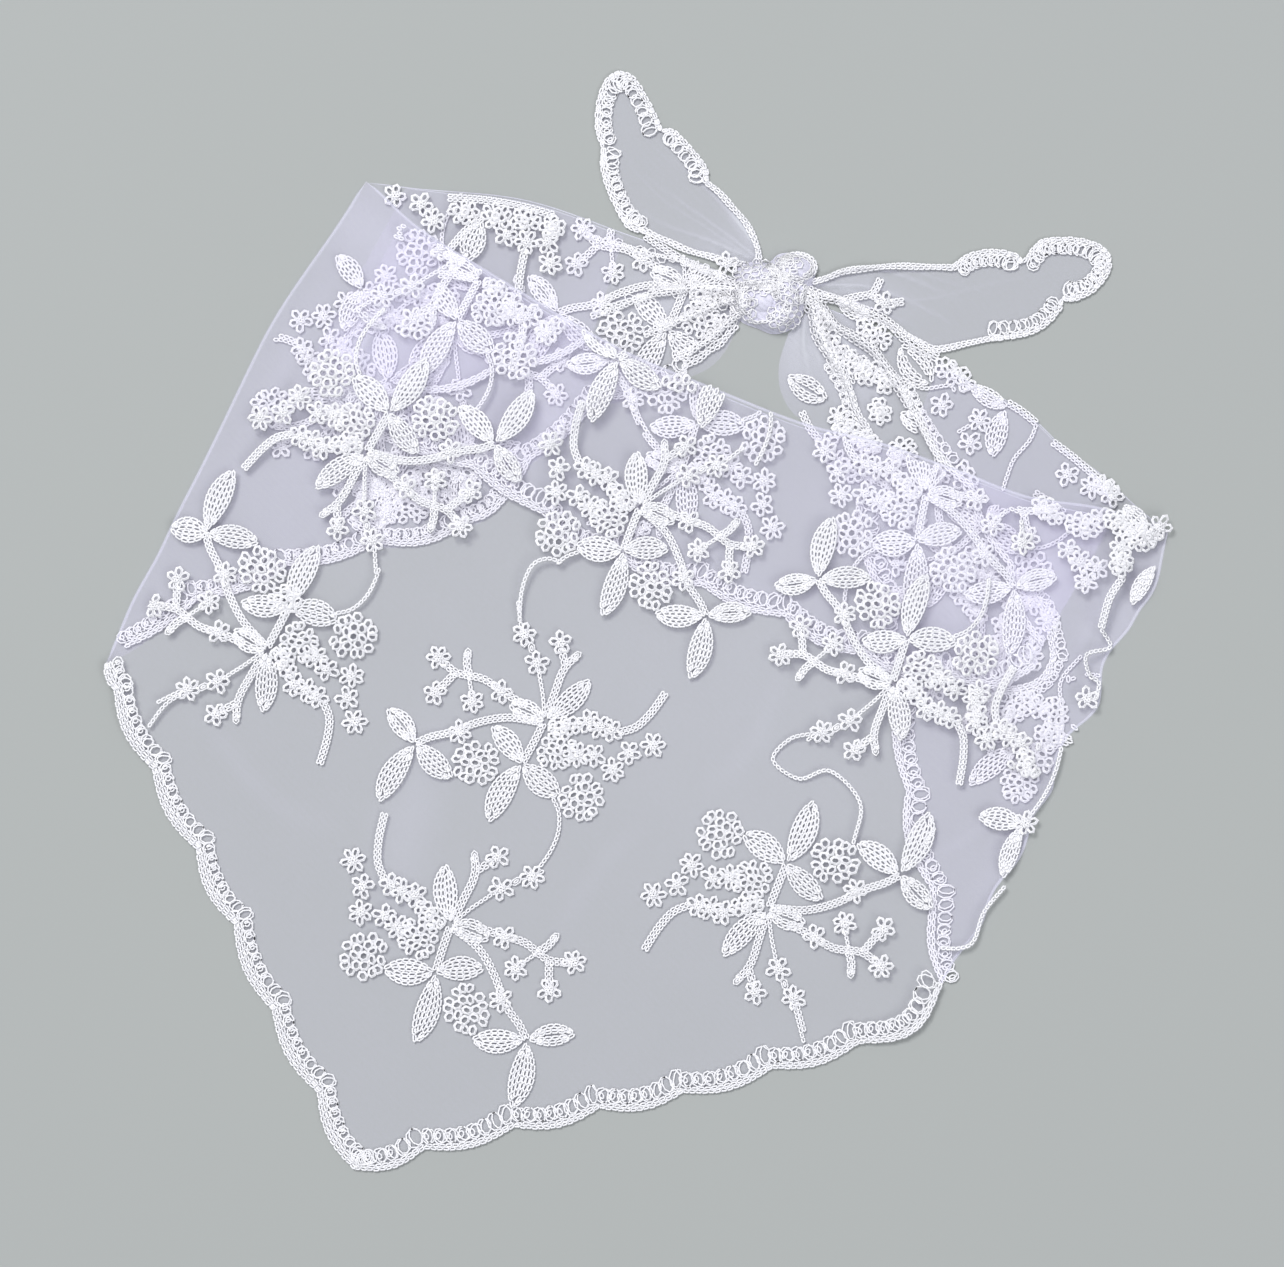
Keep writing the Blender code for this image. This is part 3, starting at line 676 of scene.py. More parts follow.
def chain(line, pitch=LINK_PITCH, width=None, shape=STITCH, overlap=0.52):
    """A row of chain stitch: loops at equal distances along a line, each pointing along it and
    overlapping its neighbours a little; a width is given at equal steps along the line.
    """
    line = np.asarray(line, float)
    count = max(1, round(lengths_along(line)[-1] / pitch))
    points = spread(line, 2 * count)
    middles = points[1::2]
    way = points[2::2] - points[:-2:2]
    if width is not None:
        width = np.interp((np.arange(count) + 0.5) / count, np.linspace(0, 1, len(width)), width)
    turn = np.arctan2(way[:, 1], way[:, 0])
    length = overlap * reach_of(way)
    return loops(middles[:, 0], middles[:, 1], turn, shape, length=length, width=width)


def beside(line, distance):
    """The line moved sideways to its right."""
    return line + rights(line) * np.reshape(distance, (-1, 1))


def uneven(x, y, amount):
    """A scatter from -amount to amount that depends on the place alone: sin(127 x + 311 y)."""
    return amount * np.sin(127.1 * x + 311.7 * y)


def doubled(pattern):
    """Each loop with one laid inside it, 1.35 threads smaller and a little askew and higher, as two
    turns of one thread.
    """
    inner = pattern.copy()
    inner[:, 2] += uneven(pattern[:, 1], pattern[:, 0], 0.22)
    inner[:, 3:5] -= 1.35 * pattern[:, 5:6]
    inner[:, 6] += 0.12
    return np.vstack([pattern, inner])


def leaf(blade):
    """Rows of chain stitch from base to tip, spaced in proportion to the blade's half width, which
    follows sin(pi t^1.08)^0.62; the inner rows stop short of both ends.
    """
    base = np.array([blade.base_x, blade.base_y])
    tip = np.array([blade.tip_x, blade.tip_y])
    t = np.linspace(0.0, 1.0, LEAF_STEPS)
    bow = 0.04 * np.hypot(*(tip - base)) * np.sin(np.pi * t)
    middle = beside(base + t[:, None] * (tip - base), bow)
    half = 0.5 * blade.width * np.sin(np.pi * np.clip(t, 0.02, 0.98) ** 1.08) ** 0.62
    width = np.clip(0.42 * half, 0.25, 0.6)
    parts = []
    for row, skipped in zip(SLIT_LEAF_ROWS if blade.slit else LEAF_ROWS, LEAF_ROW_STARTS):
        line = beside(middle, row * np.maximum(half - 0.7, 0.25))
        span = slice(skipped, LEAF_STEPS - skipped)
        parts.append(chain(line[span], LEAF_PITCH, width[span], LEAF_STITCH, overlap=0.6))
    return np.vstack(parts)


def flower(x, y, turn, petals=6):
    """Petal loops, none quite alike, round three long stitches that cross in the middle."""
    angle = turn + np.arange(petals) * 2.0 * np.pi / petals
    angle = angle + uneven(x + angle, y, 0.12)
    reach = PETAL_REACH + uneven(x, y + angle, 0.2)
    star = loops(
        x + reach * np.cos(angle),
        y + reach * np.sin(angle),
        angle + uneven(y + angle, x, 0.18),
        PETAL,
        length=PETAL.length + uneven(angle, x + y, 0.15),
        width=WIDE_PETAL if petals == 5 else None,
    )
    heart = turn + np.arange(3) * np.pi / 3
    middle = loops(np.full(3, x), y, heart, STITCH, length=1.8, width=0.5, lift=0.35)
    return np.vstack([doubled(star), middle])


def patch(x, y, long, wide, turn, turns_of_thread=2, size=1.0):
    """Loops packed in an oval of these half lengths, in loose rings, none quite in line, and all
    enlarged by size.
    """
    parts = []
    for share in PATCH_RINGS:
        count = max(1, round(np.pi * share * (long + wide) / LOBE_PITCH))
        angle = share * 3.0 + np.arange(count) * 2.0 * np.pi / count
        angle = angle + uneven(x + 3.0 * angle, y, 0.12)
        far = share + uneven(y + angle, x, 0.055)
        along, aside = far * long * np.cos(angle), far * wide * np.sin(angle)
        parts.append(
            loops(
                *turned(along, aside, turn, (x, y)),
                turn + angle + uneven(x + angle, y + 1.0, 0.8),
                LOBE,
                width=LOBE.width + uneven(x, y + 2.0 * angle, 0.16),
                lift=LOBE.lift + 0.3 * (1.0 - share),
            )
        )
    pattern = np.vstack(parts)
    pattern[:, :2] = (x, y) + size * (pattern[:, :2] - (x, y))
    pattern[:, 3:5] *= size
    return doubled(pattern) if turns_of_thread == 2 else pattern


def bud(x, y, turn):
    """Two loops one inside the other."""
    outer = loops(x, y, turn, PETAL, length=1.9, width=1.1)
    return np.vstack([outer, loops(x, y, turn, STITCH, length=0.9, width=0.4)])


def two_rows(stations):
    """Two rows of chain stitch side by side along a smooth line."""
    line = spread(smooth_line(stations), 24)
    return np.vstack([chain(beside(line, aside)) for aside in (TWO_ROWS_ASIDE, -TWO_ROWS_ASIDE)])


def spray_loops():
    """The charted spray: its leaves apart from its stems, flowers, rosettes, cluster and buds."""
    leaves = np.vstack([leaf(blade) for blade in LEAVES])
    rest = [flower(x, y, 0.7 * index, 5 + index % 2) for index, (x, y) in enumerate(FLOWERS)]
    rest += [
        patch(x, y, *ROSETTE_HALF_LENGTHS, 1.5 * index, size=ROSETTE_SIZE)
        for index, (x, y) in enumerate(ROSETTES)
    ]
    rest += [patch(x, y, long, wide, 0.0) for x, y, long, wide in CLUSTERS]
    rest += [bud(x, y, np.radians(turn)) for x, y, turn in BUDS]
    rest += [two_rows(stations) for stations in TWO_ROW_STEMS]
    rest += [chain(smooth_line(stations)) for stations in ONE_ROW_STEMS]
    return leaves, np.vstack(rest)


def moved(pattern, spray):
    """The pattern mirrored, turned, scaled and carried to a spray's place."""
    placed = pattern.copy()
    flip = -1.0 if spray.mirrored else 1.0
    turn = np.radians(spray.turn)
    x, y = pattern[:, 0], pattern[:, 1] * flip
    # a slow wander in the placing, so that no two sprays are alike
    x = x + 0.5 * np.sin(0.11 * y + spray.x)
    y = y + 0.5 * np.sin(0.13 * x + spray.y)
    x, y = turned(x, y, turn)
    placed[:, 0] = spray.x + spray.scale * x
    placed[:, 1] = spray.y + spray.scale * y
    placed[:, 2] = pattern[:, 2] * flip + turn
    for *spot, radius in spray.bare:
        placed = placed[reach_of(placed[:, :2] - spot) > radius]
    return placed


def kept_on(name, pattern):
    """The loops whose middles lie on the stretch, LACE_MARGIN in from a scalloped edge."""
    outline = outlines[name]
    if name in edges:
        top, feet = edges[name][:2]
        inset = feet - outward_sign(top, feet) * rights(feet) * LACE_MARGIN
        outline = pushed_out(np.vstack([top, inset[::-1]]))
    return pattern[inside(pattern[:, :2], outline)]


def ring_mesh(pattern, surface, segments=SEGMENTS):
    """Rings of thread: an ellipse for each loop's centre line, with a three-sided section about it.
    Each ring's head lies a little over its foot, as one stitch lies over the last.
    """
    begun = 0.5 if segments == RING_SEGMENTS else 0.0
    around = 2.0 * np.pi * (np.arange(segments) + begun) / segments
    section = -np.pi / 2 + 2.0 * np.pi * np.arange(SECTION) / SECTION
    middle_x, middle_y, turn, length, width, radius, lift = pattern.T[:, :, None, None]
    u, v = around[None, :, None], section[None, None, :]
    out = radius * np.cos(v)
    x, y = (length + out) * np.cos(u), (width + out) * np.sin(u)
    x, y = turned(x, y, turn, (middle_x, middle_y))
    flat = np.stack([x.ravel(), y.ravel()], axis=-1)
    stands = (radius * np.sin(v) + lift + HEAD_LIFT * np.cos(u)).ravel()
    points = np.column_stack([flat, surface(flat) + stands + THREAD_LIFT])
    points[:, 2] = np.maximum(points[:, 2], LOWEST_THREAD)
    one, two = np.meshgrid(np.arange(segments), np.arange(SECTION), indexing="ij")
    here, ahead = one * SECTION, (one + 1) % segments * SECTION
    after = (two + 1) % SECTION
    ring = np.stack([here + two, ahead + two, ahead + after, here + after], axis=-1)
    quads = ring.reshape(-1, 4) + (segments * SECTION * np.arange(len(pattern)))[:, None, None]
    return points, quads.reshape(-1, 4)


def thread_piece(name, patterns, surface):
    """One mesh of (loops, segments round each loop) pairs."""
    points, quads, made = [], [], 0
    for pattern, segments in patterns:
        more_points, more_quads = ring_mesh(pattern, surface, segments)
        points.append(more_points)
        quads.append(more_quads + made)
        made += len(more_points)
    return add_mesh(name, np.vstack(points), np.vstack(quads), thread)


# ------------------------ the scalloped border

PLAIN_BULK = 0.8  # a rope's share of a whole one
THIN_ROPE = 0.9  # the bulk up to which a rope has two strands
TWO_STRANDS = (0.28, 0.8)
THREE_STRANDS = (0.18, 0.5, 0.84)
COIL_PITCH = 3.8
OPEN_PITCH = 4.0
COILED_SHARE = 0.62  # of each scallop, the rest having open rings
COIL_SLANT = -0.55


def border_loops(runs, side, rise=SCALLOP_RISE, size=1.0, bulks=(), opened=()):
    """Along each run, a rope of chain rows on the outer edge, which swells by rise |sin| and is
    thickest there; inside it overlapping rings like a coil of thread; and at the end of each
    scallop open rings, each a little further in than the last. Returns the rows and the rings
    apart. A run in opened has open rings all along; bulks gives each run's share of a whole rope.
    """
    rows, rings = [], []
    closeness = np.sqrt(size)
    for number, run in enumerate(runs):
        bulk = bulks[number] if bulks else PLAIN_BULK
        length = lengths_along(run)[-1]
        count = max(1, round(length / SCALLOP_LENGTH))
        line = spread(run, count * ROPE_STEPS)
        normal = side * rights(line)
        index = np.arange(len(line))
        phase = index / ROPE_STEPS
        wave = np.abs(np.sin(np.pi * phase))
        swell = rise * min(1.0, length / count / WHOLE_RISE_LENGTH) * wave
        thick = size * bulk * (2.0 + 1.2 * wave)

        for strand, share in enumerate(THREE_STRANDS if bulk > THIN_ROPE else TWO_STRANDS):
            wander = 0.12 * np.sin(1.3 * index + 2.1 * strand + number)
            row = line + normal * (swell - thick * share + wander)[:, None]
            rows.append(chain(row[strand % 2 :], 2.05 + 0.14 * strand, shape=ROPE_STITCH))
        inner = 0.8 * swell - size * (8.6 - 2.2 * bulk + 2.0 * (phase % 1.0) ** 4)
        outer = swell - thick - 0.1

        coiled = 0.0 if number in opened else COILED_SHARE
        span = length / count
        per_mm = ROPE_STEPS / span
        coils = round(coiled * span / (COIL_PITCH * closeness))
        opens = max(1, round((1.0 - coiled) * span / (OPEN_PITCH * closeness)))
        starts = ROPE_STEPS * np.arange(count)[:, None]
        coil_at = ROPE_STEPS * coiled * (np.arange(coils) + 0.5) / max(coils, 1)
        coil_at = (starts + coil_at).ravel()
        open_share = coiled + (1.0 - coiled) * (np.arange(opens) + 0.5) / opens
        open_at = (starts + ROPE_STEPS * open_share).ravel()
        open_width = 0.58 * (1.0 - coiled) * span / opens
        coil_slant = COIL_SLANT if bulk > 1.0 else 0.0
        open_slant = 0.5 * coil_slant
        # where along the border, which ring, its share of the depth, half width, lean and slant
        for at, shape, tall_share, width, lean, slant in (
            (coil_at, COIL, 1.0, 2.1 * closeness, 0.15, coil_slant),
            (coil_at + 0.95 * per_mm, COIL, 0.88, 1.75 * closeness, -0.35, coil_slant),
            (coil_at - 0.4 * per_mm, COIL, 0.5, 0.8 * closeness, 0.6, coil_slant),
            (open_at, OPEN_RING, 1.0, open_width, 0.12, open_slant),
            (open_at + 0.75 * per_mm, OPEN_RING, 0.9, open_width - 0.6, -0.3, open_slant),
        ):
            if len(at) == 0:
                continue
            tall = 0.5 * np.interp(at, index, outer - inner)
            out = between(at, index, normal)
            middle = between(at, index, line) + (np.interp(at, index, inner) + tall)[:, None] * out
            x, y = middle.T
            tilt = slant + lean * np.cos(np.pi * np.arange(len(at))) + uneven(x, y, 0.2)
            turn = np.arctan2(out[:, 1], out[:, 0]) + tilt
            wide = width * (1.0 + uneven(y, x, 0.15))
            rings.append(loops(x, y, turn, shape, length=tall_share * tall - 0.15, width=wide))
    return np.vstack(rows), np.vstack(rings)


# ------------------------ shader maths

class Maths:
    """Wraps a socket, so that an expression on values adds its Math nodes."""

    def __init__(self, tree, socket):
        self.tree = tree
        self.socket = socket

    def node(self, operation, *values, **settings):
        node = self.tree.nodes.new("ShaderNodeMath")
        node.operation = operation
        for name, value in settings.items():
            setattr(node, name, value)
        for slot, value in zip(node.inputs, values):
            if isinstance(value, Maths):
                self.tree.links.new(value.socket, slot)
            else:
                slot.default_value = value
        return Maths(self.tree, node.outputs[0])

    def __add__(self, other):
        return self.node("ADD", self, other)

    __radd__ = __add__

    def __mul__(self, other):
        return self.node("MULTIPLY", self, other)

    __rmul__ = __mul__

    def __rsub__(self, other):
        return self.node("SUBTRACT", other, self)

    def clamped(self):
        return self.node("ADD", self, 0.0, use_clamp=True)


class Shader:
    """A material's tree, with one method that adds any node from its type, settings and inputs."""

    def __init__(self, name):
        self.material = bpy.data.materials.new(name)
        self.material.use_nodes = True
        self.tree = self.material.node_tree
        self.principled = self.tree.nodes["Principled BSDF"]

    def add(self, kind, settings=None, output=0, **inputs):
        node = self.tree.nodes.new("ShaderNode" + kind)
        for name, value in (settings or {}).items():
            setattr(node, name, value)
        for name, value in inputs.items():
            self.feed(node.inputs[name.replace("_", " ")], value)
        return Maths(self.tree, node.outputs[output])

    def feed(self, socket, value):
        if isinstance(value, Maths):
            self.tree.links.new(value.socket, socket)
        else:
            socket.default_value = value

    def surface(self, **inputs):
        for name, value in inputs.items():
            self.feed(self.principled.inputs[name.replace("_", " ")], value)

    def mixed(self, share, first, second):
        """A Mix node's colours: its inputs 0, 6 and 7, and its output 2."""
        node = self.tree.nodes.new("ShaderNodeMix")
        node.data_type = "RGBA"
        for place, value in ((0, share), (6, first), (7, second)):
            self.feed(node.inputs[place], value)
        return Maths(self.tree, node.outputs[2])


OBJECT_PLACE = 3  # Texture Coordinate's Object output
DIAGONAL_BANDS = {"wave_type": "BANDS", "bands_direction": "DIAGONAL"}
# The net's lighter colour where it is gathered or folded, also painted on crease ridges as crease
# shading
GATHERED_AND_CREASE_SHADE_TINT = (0.78, 0.785, 0.89, 1.0)


def net_material(name, cover_share, tint_low, tint_high):
    """Sheer knitted net: fine holes and faint ribs thin its cover; gathering and folds thicken it,
    and painted crease shading thickens and lightens it along each ridge.
    """
    shader = Shader(name)
    place = shader.add("TexCoord", output=OBJECT_PLACE)
    holes = shader.add("TexVoronoi", {"feature": "DISTANCE_TO_EDGE"}, Vector=place, Scale=1300.0)
    ribs = shader.add(
        "TexWave", DIAGONAL_BANDS, output=1, Vector=place, Scale=210.0, Distortion=0.6, Detail=1.0
    )
    cloud = shader.add("TexNoise", Vector=place, Scale=38.0, Detail=3.0)
    # the gathered attribute: real gathering and folds, plus painted crease shading that thickens
    # and lightens each ridge
    gathering_and_crease_shade = shader.add("Attribute", {"attribute_name": "gathered"}, output=2)
    cells = (1.0 - holes * 2.4).clamped()
    alpha = cover_share * (0.72 + 0.24 * cells + 0.16 * ribs + 0.22 * cloud) + gathering_and_crease_shade
    thin = shader.mixed(cloud, tint_low, tint_high)
    colour = shader.mixed((gathering_and_crease_shade * 3.0).clamped(), thin, GATHERED_AND_CREASE_SHADE_TINT)
    height = 0.6 * cells + 0.4 * ribs
    bump = shader.add("Bump", Height=height, Distance=0.0002, Strength=0.35)
    shader.surface(Base_Color=colour, Roughness=0.8, Alpha=alpha.clamped(), Normal=bump)
    shader.surface(Sheen_Weight=0.15, Sheen_Roughness=0.5, Specular_IOR_Level=0.15)
    return shader.material


def thread_material(name):
    """Twisted cotton-and-viscose thread: a soft satin white with fine plies, slightly uneven."""
    shader = Shader(name)
    place = shader.add("TexCoord", output=OBJECT_PLACE)
    plies = shader.add(
        "TexWave", DIAGONAL_BANDS, output=1, Vector=place, Scale=900.0, Distortion=3.0, Detail=2.0
    )
    cloud = shader.add("TexNoise", Vector=place, Scale=260.0, Detail=3.0)
    colour = shader.mixed(cloud, (0.92, 0.915, 0.965, 1.0), (0.97, 0.965, 1.0, 1.0))
    bump = shader.add("Bump", Height=plies + 0.5 * cloud, Distance=0.00008, Strength=0.5)
    roughness = 0.48 + 0.14 * cloud
    shader.surface(Base_Color=colour, Roughness=roughness, Normal=bump, Sheen_Weight=0.3)
    return shader.material


# The knot's gathered net: its own lavender, laid darker as painted shade in the gaps between the
# knot's stitches
gathered_net_and_painted_shade = net_material("gathered_net_and_painted_shade", 0.85, (0.7, 0.69, 0.82, 1.0), (0.76, 0.75, 0.87, 1.0))
net_cloth = net_material("sheer_net", 0.112, (0.64, 0.595, 0.835, 1.0), (0.69, 0.645, 0.885, 1.0))
thread = thread_material("white_thread")


# ------------------------ sheets of net

HEM_WIDTH = 0.5  # that the net stops short of its outermost stitches
FOLD_HAZE = 0.28
ROLL_TAPER = 6.0
ROLL_STEPS = 5
# Each stretch's sheet: the steps of its grid, the radius in mm at which its folded edges roll, and
# its cut as it would lie flat: width, length and area, in metres
Sheet = namedtuple("Sheet", "columns rows fold width length area")
SHEETS = {
    "front_panel": Sheet(180, 110, 0.9, 0.375, 0.345, 0.068),
    "front_turn_in": Sheet(110, 34, 0.3, 0.285, 0.075, 0.017),
    "back_left": Sheet(90, 60, 0.35, 0.215, 0.12, 0.016),
    "back_right": Sheet(110, 50, 0.35, 0.23, 0.11, 0.016),
    "back_left_turn_in": Sheet(40, 24, 0.3, 0.1, 0.06, 0.005),
    "back_right_turn_in": Sheet(40, 18, 0.3, 0.09, 0.05, 0.003),
    "tail_left": Sheet(48, 110, 0, 0.075, 0.03, 0.0019),
    "tail_right": Sheet(48, 110, 0, 0.105, 0.035, 0.0024),
}


def rolled(line, heights_here, outwards, radius):
    """Extra rows past a folded edge: half a circle turning down towards the layer below, its
    radius growing from a tenth at each end of the edge to its whole over ROLL_TAPER.
    """
    run = lengths_along(line)
    from_end = np.minimum(run, run[-1] - run)
    reach = radius * (0.1 + 0.9 * ease(from_end / ROLL_TAPER))
    angle = np.linspace(0.0, np.pi, ROLL_STEPS + 1)[1:, None]
    flat = line + outwards * (np.sin(angle) * reach)[:, :, None]
    return flat, heights_here - (1.0 - np.cos(angle)) * reach


def net_sheet(name):
    """The stretch ruled from its folded edge to its scalloped one, laid at its height, with every
    folded edge rolled round: down to the layer beneath, or on a turned-in strip up to the layer
    above. The gathered attribute thickens folds and pleats, and along the creases it carries
    painted crease shading that makes each ridge lighter.
    """
    top, feet, outer = edges[name]
    columns, rows, radius = SHEETS[name][:3]
    hem = outer - outward_sign(top, feet) * rights(feet) * HEM_WIDTH
    u = np.linspace(0.0, 1.0, columns + 1)
    v = np.linspace(0.0, 1.0, rows + 1)[:, None, None]
    foot = between(u, lengths_along(feet) / lengths_along(feet)[-1], hem)
    head = between(u, lengths_along(top) / lengths_along(top)[-1], top)
    flat = pushed_out((head + v * (foot - head)).reshape(-1, 2))
    shape = (rows + 1, columns + 1)
    # painted crease shading: cover and a lighter tint grow with each crease's height, on top of the
    # veils
    cover_and_crease_shade = 0.05 * np.clip(crease_height(flat, name), 0.0, 3.0) + veil_over(flat, name)
    cover_and_crease_shade, lift = cover_and_crease_shade.reshape(shape), height_at(name, flat).reshape(shape)
    flat = flat.reshape(*shape, 2)

    out = flat[0] - flat[1]
    out = out / np.maximum(reach_of(out), TINY)[:, None]
    extra, low = rolled(flat[0], lift[0], out, radius)
    if name in STRIPS or name == "front_turn_in":
        low = 2.0 * lift[0] - low
    flat = np.concatenate([extra[::-1], flat])
    lift = np.concatenate([low[::-1], lift])
    cover_and_crease_shade = np.concatenate([np.full(low.shape, FOLD_HAZE), cover_and_crease_shade])
    if name == "front_panel":
        left = across(FOLD_FOOT_LEFT, FOLD_TOP_LEFT)[None]
        right = across(FOLD_TOP_RIGHT, FOLD_FOOT_RIGHT)[None]
        first, first_low = rolled(flat[:, 0], lift[:, 0], left, radius)
        last, last_low = rolled(flat[:, -1], lift[:, -1], right, radius)
        haze = np.full((len(lift), len(first)), FOLD_HAZE)
        first, last = first.transpose(1, 0, 2)[:, ::-1], last.transpose(1, 0, 2)
        flat = np.concatenate([first, flat, last], axis=1)
        lift = np.concatenate([first_low.T[:, ::-1], lift, last_low.T], axis=1)
        cover_and_crease_shade = np.concatenate([haze, cover_and_crease_shade, haze], axis=1)
    points = np.column_stack([flat.reshape(-1, 2), np.maximum(lift.ravel(), LOWEST)])
    return add_net(name, points, grid_quads(*lift.shape), cover_and_crease_shade)


def tail_sheet(name):
    """The tail's net: ruled across from one side of its edge to the other, from knot to tip."""
    columns, rows = SHEETS[name][:2]
    path = spread(outlines[name], 2 * rows)
    near, far = path[:rows, None], path[::-1][:rows, None]
    flat = (near + np.linspace(0.0, 1.0, columns)[:, None] * (far - near)).reshape(-1, 2)
    # painted crease shading: cover and a lighter tint grow with each crease's height, on top of the
    # veils
    cover_and_crease_shade = 0.10 * np.clip(crease_height(flat, name), 0.0, 1.6) + veil_over(flat, name) + 0.01
    points = np.column_stack([flat, height_at(name, flat)])
    return add_net(name, points, grid_quads(rows, columns), cover_and_crease_shade)


nets = {name: tail_sheet(name) if name in TAIL_RUNS else net_sheet(name) for name in SHEETS}


# ------------------------ the knot

KNOT_EDGE = (
    (32.4, 111.3), (33, 116.4), (35.8, 118.3), (40.7, 118.9), (44.1, 118.6), (47, 121.2),
    (50.7, 121.9), (54.2, 121.6), (58.4, 119.5), (59.7, 116.4), (59, 112.6), (57.8, 108.6),
    (56.4, 104), (54, 98.8), (50.6, 96), (45.3, 94.9), (40.1, 96.8), (35.2, 98.8), (32, 102.5),
    (31.4, 107.3), (32.4, 111.3),
)
KNOT_MIDDLE = np.array((45.0, 108.6))
KNOT_CROWN = 6.0
Lump = namedtuple("Lump", "x y long wide turn rise laced")
LUMPS = (
    Lump(39.2, 114.4, 7.4, 4.4, 6, 3, True),
    Lump(53.3, 117, 6.4, 4.6, -8, 2.4, False),
    Lump(41.8, 105.4, 3.6, 3.6, 0, 1.7, False),
    Lump(50, 108, 4.2, 6.4, 22, 3.2, True),
    Lump(48.8, 100.2, 5.4, 4, 10, 2.6, True),
    Lump(34.4, 105.4, 2.9, 5.4, 0, 2.4, False),
    Lump(44.4, 97, 8.6, 2.6, 2, 2.4, False),
    Lump(55.6, 106, 2.4, 6, 14, 3, False),
)
# Rows of chain stitch on the knot, and how many lie side by side
KNOT_ROWS = (
    (((35.6, 111.5), (33.6, 108.5), (33.2, 104.5), (34.8, 100.6)), 4),
    (((36, 110.6), (40, 110.6), (44.5, 109.4), (47.4, 105.4)), 2),
    (((43.6, 118), (46.8, 114.8), (51.4, 112.8), (55.6, 111.6)), 2),
    (((37, 99.2), (41, 98.4), (45, 99.6)), 1),
    (((53.8, 104.6), (55.6, 107.6), (56.8, 110.8)), 2),
)
KNOT_PATCHES = (
    (50.4, 117.6, 3.6, 2.8, 0), (36.6, 104.6, 2.6, 4.6, 0.2), (43.4, 110.2, 4.6, 2.2, 0.1),
)
# Above the surface: the knot's foot, the lowest its sheet goes, and the cloth that it draws up
KNOT_FOOT = 0.3
KNOT_LOWEST = 0.2
KNOT_REST = 1.3
KNOT_GRID = (56, 120)  # rings, and points to a ring


def knot_radius(angle):
    """The distance from the knot's middle to its edge in each direction."""
    edge = smooth_line(KNOT_EDGE)[:-1] - KNOT_MIDDLE
    bearing = np.arctan2(edge[:, 1], edge[:, 0])
    return np.interp(angle, bearing, reach_of(edge), period=2.0 * np.pi)


def knot_height(points):
    """Crown times (1 - r^2)^0.6, where r runs to 1 at the edge, with the highest of the lumps on
    it, each rise times (1 - r^2)^0.75 in its own oval, and a slight ripple.
    """
    x, y = points.T
    away = points - KNOT_MIDDLE
    radius = reach_of(away) / knot_radius(np.arctan2(away[:, 1], away[:, 0]))
    dome = KNOT_CROWN * np.clip(1.0 - radius**2, 0.0, 1.0) ** 0.6
    over = np.zeros(len(points))
    for lump in LUMPS:
        along, aside = in_oval(points, lump)
        rounded = np.clip(1.0 - along**2 - aside**2, 0.0, 1.0) ** 0.75
        over = np.maximum(over, lump.rise * rounded)
    ripple = 0.03 * np.sin(1.1 * x + 2.1 * y) * np.sin(0.7 * x - 1.3)
    raised = dome + over * np.clip(dome / 3.0, 0.25, 1.0) + ripple
    return KNOT_FOOT + np.where(radius < 1.0, raised * np.clip(1.0 - radius**16, 0, 1), 0.0)


def knot_rest(points):
    """Where the knot's threads rest: on the knot, and beside it on the cloth that it draws up."""
    return np.maximum(knot_height(points), KNOT_REST)


def knot_sheet():
    """Rings of points from the crown to the rim, all at the knot's height, which comes down to the
    surface there.
    """
    rings, turns = KNOT_GRID
    angle = 2.0 * np.pi * np.arange(turns) / turns - np.pi
    radius = np.concatenate([[0.0005], np.linspace(0.025, 0.96, rings - 3), [0.985, 1.0]])
    reach = radius[:, None] * knot_radius(angle)
    away = np.stack([reach * np.cos(angle), reach * np.sin(angle)], axis=-1)
    flat = KNOT_MIDDLE + away.reshape(-1, 2)
    points = np.column_stack([flat, np.maximum(knot_height(flat), KNOT_LOWEST)])
    quads = upwards(points, grid_quads(rings, turns, closed=True))
    evenly = np.zeros(len(points))
    return add_mesh("net_knot", points, quads, gathered_net_and_painted_shade, evenly)


def wandering_rows(path, rows, pitch, swing, seed, shape=ROPE_STITCH):
    """Rows of chain stitch side by side along a path, each swinging a little about its place."""
    line = spread(smooth_line(path), 40)
    index = np.arange(len(line))
    parts = []
    for row in range(rows):
        aside = pitch * (row - 0.5 * (rows - 1)) + swing * np.sin(0.45 * index + 1.9 * row + seed)
        parts.append(chain(beside(line, aside)[1:-1], LINK_PITCH + 0.2 * row, shape=shape))
    return np.vstack(parts)


def knot_loops():
    """Packed loops on the laced lumps, rows of chain stitch between them, and the ear's rim."""
    parts = [
        patch(lump.x, lump.y, lump.long, lump.wide, np.radians(lump.turn), 1)
        for lump in LUMPS
        if lump.laced
    ]
    parts += [wandering_rows(path, rows, 1.1, 0.2, rows) for path, rows in KNOT_ROWS]
    ear = LUMPS[1]
    rim = np.linspace(-1.2, 2.9, 22)
    for share in (0.97, 0.78):
        x = ear.x + share * ear.long * np.cos(rim)
        y = ear.y + share * ear.wide * np.sin(rim)
        parts.append(chain(np.column_stack([x, y]), shape=ROPE_STITCH))
    parts += [patch(*places, 1) for places in KNOT_PATCHES]
    parts += [flower(30.2, 118.2, 0.4, 5), flower(46.4, 113.6, 0.9, 5)]
    return np.vstack(parts)


BROAD_PLEAT = 1.5
PLEAT_PETALS = 13


def rope_loops(name):
    """Gathered lace on the broad pleats: close rows of chain stitch along each, and petals."""
    parts = []
    for crease in CREASES[name]:
        if crease.half_width < BROAD_PLEAT:
            continue
        rows = round(crease.half_width * 0.8)
        parts.append(wandering_rows(crease.path, rows, 1.3, 0.3, crease.rise, PLEAT_STITCH))
        index = np.arange(PLEAT_PETALS)
        line = spread(smooth_line(crease.path), PLEAT_PETALS + 1)[1:-1]
        spots = beside(line, 0.5 * crease.half_width * np.sin(2.2 * index))
        parts.append(loops(spots[:, 0], spots[:, 1], 1.7 * index, LOBE))
    return np.vstack(parts)


